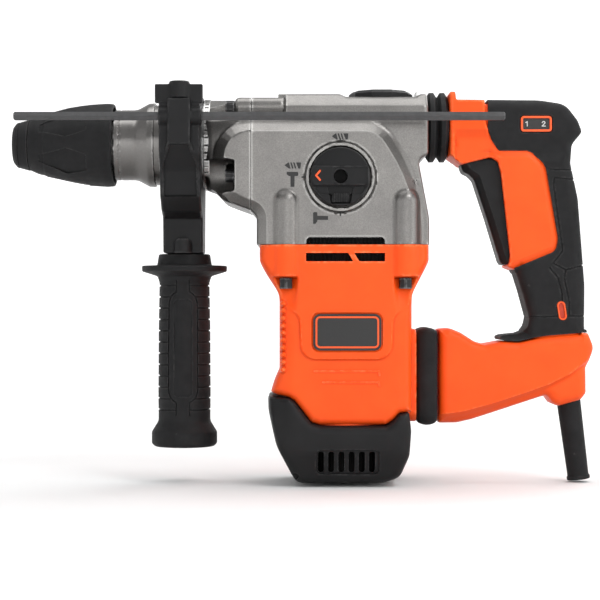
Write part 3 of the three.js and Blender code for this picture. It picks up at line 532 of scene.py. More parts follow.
# near-black matt plastic for sheets, rings and discs put in openings where there is only shade: painted shade
SHADE = moulded("painted_shade_black", "black", rgb(9, 9, 9), rgb(6, 6, 6), rgb(20, 20, 20), (0.7, 0.85), 0.1)
RUBBER = rubber()
STEEL_X = turned_steel("turned_steel", 0)
STEEL_Y = turned_steel("turned_steel_across", 1)
STEEL_Z = turned_steel("turned_steel_upright", 2)
DARK_STEEL = dark_metal("blackened_steel", rgb(58, 58, 60), (0.3, 0.42), 0.7)
BLACK_SCREW = dark_metal("blackened_screw", rgb(34, 34, 35), (0.34, 0.5), 0.5)
ROD_STEEL = dark_metal("drawn_dark_bar", rgb(82, 82, 83), (0.34, 0.4), 0.6, wear_and_highlight=0.0)
COPPER = plain_metal("copper_wire", "copper", rgb(190, 112, 66))
BRASS = plain_metal("brass", "brass", rgb(190, 160, 92))
CARBON = moulded("brush_carbon", "carbon", rgb(44, 44, 45), rgb(32, 32, 33), rgb(90, 90, 90))
MARK_DARK = printed("mark_dark", "black", rgb(30, 30, 30))
# darker orange for the floor of the grip's oval recess: painted shade
MARK_ORANGE = printed("mark_orange", "orange", rgb(255, 92, 26))
PAINTED_SHADE_ORANGE = printed("orange_painted_shade", "orange", rgb(196, 56, 8))
MARK_LIGHT = printed("mark_light", "cast", rgb(205, 205, 203))


# ---------------------------------------------------------------- casting: gear and front housings
CAST_SIDE = outline([
    (-90.5, 196.4, 3), (-90.5, 256.4, 3), (-62, 258.9, 4), (-4.1, 259.2, 3), (0, 256.5, 3), (45.9, 256.5, 2),
    (49.3, 259.2, 1), (53.7, 259.2, 1.5), (53.7, 217.5, 4), (47.2, 214, 6), (54.3, 176, 30),
    (54.3, 150), (-58.4, 150), (-58.4, 177, 7), (-63, 181.5, 8), (-80.3, 187.2, 10), (-87, 194.5, 5),
])
CORE_FRONT = outline(mirrored([
    (36.5, 140), (36.5, 238, 3), (34.4, 249.6, 2), (32.6, 251.6, 1.5), (24.5, 259.3, 5),
]))
SADDLE = outline([
    (-86.3, 191, 24), (-86.3, 239.3, 34), (24.5, 239.3, 30), (38.5, 216, 50), (47.6, 197, 60), (51, 172, 60),
    (51.6, 140), (-59.2, 140), (-59.2, 178.6, 6),
])
BARREL = outline([
    (-154.6, -9), (-154.6, 23.6, 0.8), (-139.7, 23.6, 8), (-131.6, 28, 3), (-127.3, 28.2, 0.6),
    (-127.3, 26.8), (-93.8, 26.8), (-93.8, 30, 0.6), (-60, 30), (-60, -9),
])


def cast_body(x, y, z):
    """The one casting that the two housings are split from."""
    side = np.abs(y)
    radial = from_axis(y, z)
    # the core narrows towards the neck, and its top corners step in ahead of the grease cap
    taper = 0.30 * maximum(-68 - x, 0) + 0.02 * maximum(-78 - x, 0) ** 1.5
    shoulder = 4.2 * clip((-39.5 - x) / 2.5, 0, 1) * clip((z - 240) / 4, 0, 1)
    outer = CAST_SIDE(x, z)
    core = both(outer, CORE_FRONT(y, z) + taper + shoulder, 2.5)
    plate = both(chamfered(SADDLE(x, z), side + FACE_Y, 7), outer, 1)
    plate = maximum(plate, side + FACE_Y + 0.06 * maximum(-70 - x, 0))
    body = either(core, plate, 1.6)
    body = either(body, both(BARREL(x, radial), x + 62, 0.5), 5)
    for rib_x in RIBS_X:
        column = np.sqrt((x - rib_x) ** 2 + (side - RIB_Y) ** 2 + maximum(z - 186.5, 0) ** 2) - RIB_R
        body = either(body, column, 1.0)
    for screw_y, screw_z in SCREWS_SIDE:
        boss = both(rod(side, z, screw_y, screw_z, 6.4), between(x, POCKET_X[1], -40), 3)
        body = either(body, boss, 0.9)
    (upper_y, upper_z), (lower_y, lower_z) = SCREWS_SIDE
    pocket = minimum(rod(side, z, upper_y, upper_z, 5.8), both(between(z, 243.6, 262), upper_y - side))
    body = cut(body, both(pocket, between(x, *POCKET_X), 0.8), 0.6)
    spread = 10.2 + 0.10 * (POCKET_X[1] - x)
    pocket = hypot(side - lower_y, z - lower_z) - spread
    pocket = minimum(pocket, both(np.abs(z - lower_z) - spread, lower_y - side))
    return cut(body, both(pocket, between(x, *POCKET_X), 1.2), 0.9)


def dial_seat(body, x, y, z):
    """The raised bezel, the groove round it and the recess that the dial turns in."""
    radius = hypot(x - DIAL_X, z - DIAL_Z)
    ridge = block(radius, DIAL_R + 1.0, DIAL_R + 3.4, y, FACE_Y - 1.3, FACE_Y + 4, 0.5)
    groove = both(between(radius, DIAL_R + 3.4, DIAL_R + 4.6), y - FACE_Y - 0.9)
    recess = both(radius - DIAL_R - 0.8, y - FACE_Y - 2.2)
    return cut(either(cut(body, groove, 0.3), ridge, 0.4), recess, 0.4)


def gear_housing():
    def field(x, y, z):
        body = cast_body(x, y, z)
        step = both(between(x, -45, -6), hypot(y, 1.0) - 11)
        body = either(body, both(step, between(z, 250, 259.9), 0.8), 0.8)
        body = dial_seat(body, x, y, z)
        well = hypot(x - CAP_X, y)
        body = cut(body, both(well - 22.4, 256.3 - z), 0.6)
        slot = both(block(x, -26.5, 25, z, 150, 163.4, 3.6), 36 - np.abs(y))
        body = cut(body, slot, 0.5)
        # what is hollow: the crank's room, the spindle's, the cap's, the dial's and the damper's
        rooms = both(both(between(x, -54, 49), np.abs(y) - 37, 6), z - 201)
        cylinder = both(from_axis(y, z) - CYLINDER_R, x - 42.5)
        rooms = minimum(minimum(rooms, cylinder), both(well - 17.1, 225 - z))
        rooms = minimum(rooms, both(hypot(x - DIAL_X, z - DIAL_Z) - 13.4, y + 25))
        rooms = minimum(rooms, both(hypot(y, z - BELLOWS_Z) - 11, 48.5 - x))
        for rib_x in RIBS_X:
            rooms = minimum(rooms, both(rod(x, np.abs(y), rib_x, RIB_Y, SCREW_ROOM), z - 183))
        for screw_y, screw_z in SCREWS_SIDE:
            rooms = minimum(rooms, both(rod(np.abs(y), z, screw_y, screw_z, SCREW_ROOM), x + 46.5))
        body = maximum(body, -rooms)
        return both(both(body, SEAM_X + 0.08 - x, 0.12), DECK_Z - z, 0.25)

    piece("casting_gear_housing", field, CAST, "tool", 0.9, like="gear_housing")


def front_housing():
    bore = outline([
        (-170, -9), (-170, 20.3), (-95, 20.3), (-78, CYLINDER_R), (-50, CYLINDER_R), (-50, -9),
    ])
    rim = span("front_housing", 0)[1]
    neck_end = -90.6  # the turned neck and the cast body meet here

    def field(x, y, z):
        radial = from_axis(y, z)
        body = maximum(cast_body(x, y, z), -bore(x, radial))
        for screw_y, screw_z in SCREWS_SIDE:
            body = maximum(body, -rod(np.abs(y), z, screw_y, screw_z, SCREW_ROOM))
        lips = both(between(x, -151.2, -150.2), 23.1 - radial)
        return both(cut(body, lips, 0.2), x - rim + 0.02, 0.12)

    made = piece("casting_front_housing", field, CAST, "tool", 0.8, like="front_housing")
    made.data.materials.append(MACHINED)
    centres = np.empty(len(made.data.polygons) * 3)
    made.data.polygons.foreach_get("center", centres)
    turned = (centres[::3] < neck_end * MM).astype(np.int32)
    made.data.polygons.foreach_set("material_index", turned)

    def collar(x, y, z):
        radial = from_axis(y, z)
        around = np.arctan2(z - AXIS_Z, y) * 30
        ring = block(radial, 26.5, 30.6, x, -94.4, -90.2, 0.4)
        notch = both(np.abs(np.mod(around, 4.7) - 2.35) - 0.7, between(x, -93.6, -91.0))
        return cut(ring, both(notch, 29.7 - radial), 0.15)

    low, high = (-94.6, -30.8, AXIS_Z - 30.8), (-90, 30.8, AXIS_Z + 30.8)
    piece("collar_ring", collar, STEEL_X, "tool", 0.5, low=low, high=high)


# ---------------------------------------------------------------- screws
def screw_field(along, across, start, length, head):
    """A socket-head screw: along runs from the head's face, across is the distance from its axis."""
    end_on = along - start
    body = both(maximum(across[0] - 4.4, across[2]), between(end_on, 0, head), 0.5)
    socket = both(across[1], end_on - head * 0.55)
    shank = both(across[0] - 2.3, between(end_on, head * 0.5, length), 0.3)
    return minimum(cut(body, socket, 0.25), shank)


def hexagon(a, b, flats, turn=0.0):
    """The distance to a regular hexagon about the origin."""
    angle = np.arctan2(b, a) + turn
    sector = np.mod(angle + math.pi / 6, math.pi / 3) - math.pi / 6
    return hypot(a, b) * np.cos(sector) - flats / 2


def screws():
    for node in sorted(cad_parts):
        if not node.startswith(("housing_screw_", "motor_screw_")):
            continue
        lying = node.startswith("housing")  # along X, where the motor's screws stand along Z
        axes = (0, 1, 2) if lying else (2, 0, 1)
        start, end = span(node, axes[0])
        a0, b0 = middle(node, axes[1]), middle(node, axes[2])

        def field(x, y, z):
            along, u, v = (x, y - a0, z - b0) if lying else (z, x - a0, y - b0)
            across = (hypot(u, v), hexagon(u, v, 4.4), hexagon(u, v, 8.2))
            return screw_field(along, across, start, end - start, 6 if lying else 7)

        piece("cap_" + node, field, BLACK_SCREW, "tool", 0.45, like=node)


# ---------------------------------------------------------------- motor housing and base cap
CAP_EDGE = [  # where the base cap meets the motor housing
    (-50.3, 60.5), (-37.5, 58.2), (-34, 55.9), (-23, 41.9), (-17.2, 40.2), (25.9, 40.2),
    (30.4, 43.2), (34.4, 47.7), (41.4, 48.9),
]
MOTOR_SIDE = outline([
    (-58.4, 175), (54.3, 175), (54.3, 147.8, 6), (43.0, 126, 14), (42.7, 49.2),
    *[(x, z + 0.5, 2) for x, z in reversed(CAP_EDGE[:8])],
    (-50.9, 61.5), (-43.9, 77, 8), (-43.9, 126, 14), (-58.4, 148, 8),
])
BASE_SIDE = outline([
    (-52.2, 59.5, 1), *[(x, z, 2) for x, z in CAP_EDGE[1:8]], (40.9, 48.9, 1.5), (42.4, 36.5, 10),
    (41.2, 20, 12), (35.2, 5.8, 10), (24, 0, 14), (-29.4, 0, 2), (-33, 2, 2), (-46, 27, 20),
    (-51.6, 50, 10),
])
SHIELD = outline([
    (-45, 122.5), (-29.8, 112, 9), (-28.6, 84.2, 9), (28.6, 84.2, 9), (29.6, 112, 9), (45, 122.5),
    (80, 122.5), (80, 190), (-80, 190), (-80, 122.5),
])
FINGER_RIBS = [[(-21, 75.8), (21.1, 75.8), (21.4, 73.2)], [(-15.4, 68.6), (21.1, 68.6), (21.4, 66)]]
MOTOR_HALF = 42.4  # half width of the raised panel on the motor housing
SHIELD_STEP = 1.5  # how far the panel below the shield is sunk
RIB_FOOT_Z = 137  # where the motor housing's screw ribs end
WALL = 3.4  # the base cap's thickness


def plan(x, y, half_x, half_y, r):
    """The distance to a rounded rectangle about the origin, seen from above."""
    qx, qy = np.abs(x) - half_x + r, np.abs(y) - half_y + r
    return minimum(maximum(qx, qy), 0) + hypot(maximum(qx, 0), maximum(qy, 0)) - r


def motor_housing():
    def field(x, y, z):
        side = np.abs(y)
        swell = eased(clip((z - 122) / 26, 0, 1))
        sunk = eased(clip(SHIELD(x, z) / 1.5, 0, 1))
        half = MOTOR_HALF + 0.6 * swell - SHIELD_STEP * sunk
        walls = plan(x, y, 51.5 + 7 * swell, half, 19 - 4 * swell)
        body = both(MOTOR_SIDE(x, z), walls, 5)
        for rib_x in RIBS_X:
            column = both(rod(x, side, rib_x, RIB_Y, RIB_R), RIB_FOOT_Z - z, 0.8)
            body = either(body, column, 1.0)
            drift = RIB_Y + 3.6 + 0.26 * maximum(RIB_FOOT_Z - z, 0)
            flare = hypot(x - rib_x, side - drift) - 7.4
            body = cut(body, both(flare, z - RIB_FOOT_Z, 0.4), 1.8)
        badge = block(x, -22.6, 23.4, z, 88.5, 113.9, 4.4)
        body = cut(body, both(badge, MOTOR_HALF - side - 0.9), 0.4)
        for k in range(10):
            bump = np.sqrt((x + 41.5) ** 2 + (side - 36) ** 2 * 0.10 + (z - 76.5 - 4.8 * k) ** 2) - 2.2
            body = either(body, bump, 0.8)
        can = both(hypot(x, y) - 38.3, between(z, 26, 70))  # the wall round the motor, inside the cap
        arm = both(block(y, -22, 22, z, 41.4, 102.8, 8), between(x, 38, 46.8), 1.0)
        # the ears and the stub hold the sway pin and the damper's lower end
        ears = both(block(side, 10, 14, z, 63.5, 79.5, 3), between(x, 42, 59), 2)
        body = maximum(body, z - DECK_Z + 0.3)
        body = minimum(minimum(either(body, arm, 1.0), can), ears)
        rooms = both(hypot(x, y) - 36, 31 - z)
        rooms = minimum(rooms, both(hypot(x, y) - 37.4, 138 - z))
        rooms = minimum(rooms, hypot(x, y) - 9.7)
        rooms = minimum(rooms, both(rod(x, z, *SWAY_PIN, 3.4), side - 20))
        slant = (z - 147.6) * 0.6
        for x0, x1 in ((-26.5, 4.2 - slant), (4.9 + 3.2 - slant, 25)):
            vent = both(maximum(x0 - x, x - x1), between(z, 147.4, 152.9), 0.6)
            rooms = minimum(rooms, maximum(vent, 30 - side))
        for rib_x in RIBS_X:
            rooms = minimum(rooms, both(rod(x, side, rib_x, RIB_Y, SCREW_ROOM), 131 - z))
        doors = both(rod(x, z, 0, 48, 4.2), between(side, 13, 37))
        return cut(cut(body, rooms, 0.3), doors)

    piece("motor_shell", field, ORANGE, "tool", 0.9, like="motor_housing")
    for i, line in enumerate(FINGER_RIBS):
        for name, sign in SIDES:
            wall_y = (MOTOR_HALF - SHIELD_STEP) * sign

            def rib(x, y, z):
                return both(path_distance(line, x, z) - 0.6, np.abs(y - wall_y) - 0.9, 0.3)

            ends = [min(p[0] for p in line) - 1, wall_y - 1, min(p[1] for p in line) - 1]
            tips = [max(p[0] for p in line) + 1, wall_y + 1, max(p[1] for p in line) + 1]
            piece(f"motor_line_{i + 1}_{name}", rib, ORANGE, "tool", 0.3, low=ends, high=tips)


def vent_shade_sheet(name, x0, x1, z0, z1, y):
    """A near-black pleated sheet that closes a vent on one side: painted shade seen through the vent."""
    def field(u, v, w):
        pleats = 0.25 * np.cos(u * 2.4)
        return both(block(u, x0, x1, w, z0, z1, 0.5), np.abs(v - y) - 0.6 + pleats, 0.2)

    piece(name, field, SHADE, "tool", 0.5, low=(x0, y - 1, z0), high=(x1, y + 1, z1))


def shade_the_openings():
    for side, sign in SIDES:
        vent_shade_sheet(f"crankcase_painted_shade_{side}", -26.0, 24.5, 158.9, 162.9, 40.2 * sign)
        vent_shade_sheet(f"air_painted_shade_{side}", -26.3, 24.8, 147.7, 152.7, 38.9 * sign)

    low = span("base_cap", 2)[0]

    # a near-black pleated ring behind the base cap's slots: painted shade seen through them
    def slot_shade_ring(x, y, z):
        radius = hypot(x, y)
        pleats = 0.2 * np.cos(np.arctan2(y, x) * 90)
        return both(np.abs(radius - 35.6) - 0.7 + pleats, between(z, low + 6, low + 25.4), 0.2)

    reach = 38.5
    ends, tips = (-reach, -reach, low + 5), (reach, reach, low + 26)
    piece("base_slot_painted_shade", slot_shade_ring, SHADE, "tool", 0.6, low=ends, high=tips)


def base_cap():
    ends = outline(mirrored([(36, 0, 10), (43.6, 24, 22), (43.6, 62)]))

    def field(x, y, z):
        side = np.abs(y)
        body = both(BASE_SIDE(x, z), ends(y, z), 6)
        body = both(body, plan(x, y, 53, 45, 24), 3)
        hollow = maximum(both(hypot(x, y) - 38.9, 4 - z), body + WALL)
        panel = both(block(x, -19.9, 21.3, z, 8.5, 24.4, 3), 25 - side)
        body = cut(body, both(panel, -body - 1.2), 0.4)
        screw_hole = both(rod(x, z, -33.6, 6.6, 2.4), 30 - side)
        body = cut(body, screw_hole, 0.4)
        for k in range(6):
            slot_x = -16.8 + 6.68 * k
            slot = both(block(x, slot_x - 1.9, slot_x + 1.9, z, 9.6, 23.4, 1.7), 30 - side)
            hollow = minimum(hollow, slot)
        return cut(body, hollow, 0.3)

    piece("base_shell", field, BLACK, "tool", 0.7, like="base_cap")


# ---------------------------------------------------------------- rear handle
ARM_RUN = [  # from under the arm, round its front end, to the top of the arm
    (133.7, 58.7, 3), (106, 49.6, 30), (84.4, 42.5, 20), (74.2, 40.2, 10), (62.1, 40.2, 1),
    (62.1, 102.6, 1), (69.5, 103.3, 6), (76.3, 100.6, 8), (85.7, 94.5, 8), (92.5, 92.6, 5),
]
SHELL_SIDE = [
    (69.2, 260.3, 0.8), (72.4, 260.3, 1.0), (73.4, 255.4, 1), (92.3, 255.2), (92.6, 253.6),
    (129, 253.2, 30), (145.2, 250.8, 10), (152.8, 241.2, 6), (155.4, 234.6, 2), (148.8, 226.6, 8),
    (147.8, 213.3, 8), (152.8, 189.7, 30), (157.2, 132.3, 30), (157, 100.6), (161.2, 100, 0.8),
    (164.9, 91, 8), (162.2, 81.7, 4), (160.4, 77, 1), (160.6, 60.1, 4), (157, 55.4, 4),
    (142.2, 51.3, 5), (137.5, 53.3, 2), *ARM_RUN, (104.6, 94.8, 1), (115.4, 94, 2), (124.6, 96.9),
    (124.6, 110, 6), (119.6, 128.9, 20), (115.6, 142.2, 1), (111.5, 142.6, 1), (107.2, 144.6, 1),
    (108.8, 146.8, 1), (109.4, 151.9, 2), (103.3, 206.5, 10), (101.2, 214.2, 4), (96.5, 217.2, 4),
    (77.1, 212.5, 2), (71.8, 216.9, 2), (69.2, 218.6, 1),
]
TRIGGER_SLOT = [(66, 230), (66, 206), (80, 200), (100, 140), (118, 140), (125, 160), (112, 222)]
LOWER_ARM = [
    (157, 100.6), (161.2, 100, 0.8), (164.9, 91, 8), (162.4, 82, 6), (150, 64.5, 16), (141.2, 58.7, 6),
    *ARM_RUN, (104.4, 94.6), (115.4, 94, 2), (127, 96.7), (147.8, 98.3), (156, 99.2),
]
ARM_CREASE = ([60, 78, 99.5, 121, 135, 149, 160, 168], [46, 48.5, 54.4, 61.5, 66.5, 73.5, 82, 92])
HANDLE_ROOM = [
    (71.5, 252.2), (90, 252.2), (129, 250.2), (143, 248.2), (149.8, 240.6), (151.6, 235.4), (145.9, 227.6),
    (144.9, 213.3), (150, 189.5), (154.4, 132), (154, 98), (158.6, 91), (157.6, 60), (141.8, 55), (131, 62),
    (105, 53), (84, 46), (66, 44), (66, 99), (75, 97.5), (84.8, 91.2), (92.5, 89.4), (104.5, 91.5), (115, 91),
    (128, 94.4), (128, 110), (123, 129), (117.5, 145), (111, 147), (97, 146), (88, 205), (77, 205),
    (77, 217.8), (74, 221), (71.5, 221),
]
OVERMOLD_SIDE = [
    (92.4, 256.4, 0.6), (129.6, 256, 40), (147, 253.4, 12), (155.4, 242, 6), (158.1, 234.4, 2),
    (151.3, 226.2, 8), (150.3, 213.3, 8), (155.4, 189.7, 40), (160, 132.3, 30), (159.4, 105, 1),
    (160.9, 102.8, 1), (160.9, 100.6), (135, 98.6), (127, 97.5), (115.4, 94.8, 2), (107, 94.9, 1),
    (102.8, 95.7, 1), (102.5, 97.8, 1), (105, 98.9, 2), (114.8, 100.1, 3), (121.2, 103.8, 5),
    (122.4, 110, 6), (117.2, 128.9, 20), (112, 143.4), (139.6, 154.8, 6), (141, 163, 6),
    (132.6, 212.3, 12), (122, 221.2, 8), (101.6, 221.2, 3), (96.7, 229, 3), (93.2, 240, 3),
]
shell_flat, arm_flat = outline(SHELL_SIDE), outline(LOWER_ARM)
room_flat, skin_flat = outline(HANDLE_ROOM), outline(OVERMOLD_SIDE)
slot_flat = outline(TRIGGER_SLOT)
GUARD_TILT = math.radians(7.3)
GUARD_X, GUARD_Z = 150.4, 57.0


def guard_place(x, y, z):
    """Along and across the tilted cord outlet."""
    dx, dz = x - GUARD_X, z - GUARD_Z
    along = dx * -math.sin(GUARD_TILT) + dz * math.cos(GUARD_TILT)
    across = dx * math.cos(GUARD_TILT) + dz * math.sin(GUARD_TILT)
    return along, hypot(across, y)


def handle_outside(x, side, z):
    """The handle shell without its overmould, rounded across."""
    flat = shell_flat(x, z)
    under = 0.45 * maximum(235.8 - z, 0)  # the neck narrows downwards
    skin = skin_flat(x, z)
    pillow = 1.5 * clip((skin - 0.4) / 3.5, 0, 1) * clip((x - 96) / 6, 0, 1)
    body = both(both(minimum(flat, slot_flat(x, z)), side - 17.5 - pillow, 7), flat, 1.2)
    neck = both(both(flat, maximum(between(x, 69.2, 96), 0.2 - skin), 0.6), side - 20.3 + under, 1.6)
    lip = both(maximum(flat, maximum(between(x, 69.2, 72.6), 200 - z)), side - 20.5, 2)
    below = maximum(np.interp(x, *ARM_CREASE) - z, 0)  # how far below the arm's crease
    arm = both(arm_flat(x, z), side - 21.8 + 1.1 * below, 6)
    gland = both(both(flat, maximum(130 - x, z - 92), 3), side - 14.2, 7)
    return either(either(body, neck, 1), either(either(arm, gland, 1.5), lip, 0.6), 1.2)


def shell_half(name, sign):
    def field(x, y, z):
        side = y * sign
        body = handle_outside(x, side, z)
        tongue = both(both(between(x, 52, 70), hypot(z - 71.5, (x - 62) * 0.5) - 8, 1), side - 9.4)
        body = maximum(body, -both(room_flat(x, z), side - 14.8, 6))
        body = minimum(body, tongue)
        along, across = guard_place(x, y, z)
        holes = maximum(across - 8.4, np.abs(along + 4) - 16)
        holes = minimum(holes, rod(x, z, *SWAY_PIN, 3.4))
        holes = minimum(holes, both(rod(x, z, *TRIGGER_PIN, 2.5), side - 15.2))
        body = maximum(body, -holes)
        if sign < 0:
            window = both(block(x, 116.2, 138.3, z, 233.8, 244.6, 1.6), 18.6 - side)
            body = maximum(body, -window)
        return both(body, 0.15 - side, 0.5)

    piece(f"handle_half_{name}", field, ORANGE, "handle", 0.8, like=f"handle_shell_{name}")


SKIN_SEAMS = [
    [(153, 208.6), (135.6, 209.1)],
    [(155, 201.9), (138.7, 203.6), (137.9, 199), (139.8, 184.4), (142.9, 163.4), (144, 155), (137.7, 146.6),
     (146.1, 142.2), (162, 146.4)],
    [(146.1, 142.2), (145, 137.1), (148.2, 121.4), (148.7, 111.4)],
    [(135.6, 143.4), (140.9, 137.1), (143.5, 126.6), (143.8, 122)],
    [(114, 111), (164, 111.6)],
]


def overmold_half(name, sign):
    def field(x, y, z):
        side = y * sign
        # the overmould spreads at its foot, in front
        foot = 3.6 * clip((112 - z) / 8, 0, 1) * clip((132 - x) / 8, 0, 1)
        grown = both(shell_flat(x, z) - 2.45 - foot, side - 19.3, 8)
        facet = side - 19.3 + 0.08 * maximum(234.5 - z, 0) * clip((z - 214) / 6, 0, 1)
        grown = both(grown, facet, 0.3)
        body = both(skin_flat(x, z), grown, 0.7)
        body = maximum(body, 0.25 - handle_outside(x, side, z))
        for line in SKIN_SEAMS:
            body = cut(body, both(path_distance(line, x, z) - 0.45, -0.7 - grown), 0.25)
        if sign < 0:
            window = both(block(x, 115.6, 137.4, z, 233.4, 245.0, 2), 18.2 - side)
            body = cut(body, window, 0.2)
        body = cut(body, both(oval_distance(x, z) - 0.2, 17.2 - side), 0.2)
        return both(body, 0.15 - side, 0.3)

    piece(f"grip_skin_{name}", field, RUBBER, "handle", 0.6, like=f"grip_overmold_{name}")


def oval_distance(x, z):
    """The distance to the small upright slot on the grip."""
    return path_distance([(143.0, 118.6), (144.1, 111.6)], x, z) - 2.7


def trigger():
    shape = outline([
        (77.2, 217), (77.2, 211.4, 1), (78.9, 207.8, 2), (82.6, 206, 3), (86, 202.6, 6),
        (94.5, 176.8, 20), (103.3, 147.8, 2), (105, 145.9, 1), (108, 145.9, 1), (112.5, 147.5, 1),
        (120, 147.5, 3), (120, 154, 3), (113.4, 155, 2), (110, 206, 3), (107, 217, 3),
    ])
    front = [(77.2, 211.4), (79.5, 207.2), (86, 202.6), (94.5, 176.8), (103.3, 147.8)]

    def field(x, y, z):
        side = np.abs(y)
        facet = side - 13.5 + 0.8 * maximum(4.4 - path_distance(front, x, z), 0)
        body = both(shape(x, z), facet, 1.5)
        pin = both(rod(x, z, *TRIGGER_PIN, 1.9), side - 14.2, 0.3)
        return minimum(body, pin)

    piece("trigger_paddle", field, BLACK, "trigger", 0.6, like="trigger")


def cord_guard():
    profile = outline([
        (-56, 4.4), (-56, 7.75, 0.8), (-53.8, 7.75, 0.8), (-53, 7.1, 0.5), (-2, 8.0), (6, 8.0), (6, 10),
        (10, 10), (10, 4.4),
    ])

    def field(x, y, z):
        along, across = guard_place(x, y, z)
        return profile(along, across)

    piece("cord_sleeve", field, RUBBER, "handle", 0.55, like="cord_guard")


# ---------------------------------------------------------------- damper
def damper():
    low, high = span("bellows", 0)
    reach = (span("bellows", 2)[1] - span("bellows", 2)[0]) / 2
    half = (high - low) / 2
    corners = []
    for start in (low, low + half):
        corners += [
            (start + 0.2, reach - 3.2, 0.5), (start + 2.2, reach, 0.6), (start + half - 2.2, reach, 0.6),
            (start + half - 0.2, reach - 3.2, 0.5),
        ]
    profile = outline(corners + [(high, reach - 5.5), (low, reach - 5.5)])

    def bellows(x, y, z):
        return profile(x, hypot(y, z - BELLOWS_Z))

    boot = piece("bellows_boot", bellows, RUBBER, None, 0.5, like="bellows")
    coil = bpy.data.objects.new("damper_coil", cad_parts["handle_spring"].data.copy())
    bpy.context.scene.collection.objects.link(coil)
    dress(coil, STEEL_X, None, ("handle_spring",))
    for soft in (boot, coil):
        start, end = (low * MM, 0, BELLOWS_Z * MM), (high * MM, 0, BELLOWS_Z * MM)
        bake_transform(soft)

    (x0, x1), (z0, z1) = span("damper_band", 0), span("damper_band", 2)
    x0 -= 1.4  # pressed against the motor housing
    hoop = outline(box4(-24, 24, z0, z1, 9))

    def band(x, y, z):
        flat = hoop(y, z)
        bulge = 0.045 * ((x - (x0 + x1) / 2) ** 2)
        ring = both(flat + bulge - 0.1, between(x, x0, x1), 2)
        return maximum(ring, -flat - 3.2)

    piece("damper_cushion", band, RUBBER, "tool", 0.7, like="damper_band")


# ---------------------------------------------------------------- tool holder
def chuck():
    start, end = span("nose_cap", 0)
    front = start + 1.8  # shorter than its CAD solid, as the photo's outline is
    nose = outline([
        (front, 6.5), (front, 12.2, 1.2), (front + 2.2, 14.9, 1.5), (-219.4, 15.4), (-218.9, 14.9),
        (-218.5, 15.5), (end, 17.2, 0.4), (end, 13.8), (-215, 11.3), (-219.4, 11.3), (-219.4, 6.5),
    ])
    piece("nose_boot", lambda x, y, z: nose(x, from_axis(y, z)), RUBBER, "spindle", 0.5, like="nose_cap")

    low, high = span("locking_sleeve", 0)
    skin = outline([
        (low, -9), (low, 16.9, 0.6), (-207, 19.2, 6), (-201.7, 20.7), (-201.3, 21.3, 0.5), (-194, 23.2, 8),
        (-185.5, 26.0, 6), (-176, 27.0, 20), (-160, 28.0, 4), (high, 27.6, 1.0), (high, -9),
    ])
    bore = outline([
        (low - 9, -9), (low - 9, 14.3), (-196, 14.3), (-196, 17.4), (-184, 17.4), (-184, 22.5), (high, 25.6),
        (high + 9, 25.6), (high + 9, -9),
    ])
    pads = outline([
        (-204, -3.4), (-185.5, -9.6), (-172.2, -5.6), (-172.2, 5.6), (-185.5, 9.6), (-204, 3.4),
    ])

    def field(x, y, z):
        radial = from_axis(y, z)
        body = skin(x, radial)
        angle = np.arctan2(z - AXIS_Z, y)
        arc = (np.mod(angle, math.pi / 3) - math.pi / 6) * 26.0
        facet = 1.7 - 0.06 * np.abs(x + 185.5) - 0.04 * np.abs(arc)
        body = cut(body, both(pads(x, arc), -body - facet), 0.3)
        return cut(body, bore(x, radial), 0.3)

    piece("chuck_sleeve", field, RUBBER, "sleeve", 0.6, like="locking_sleeve")


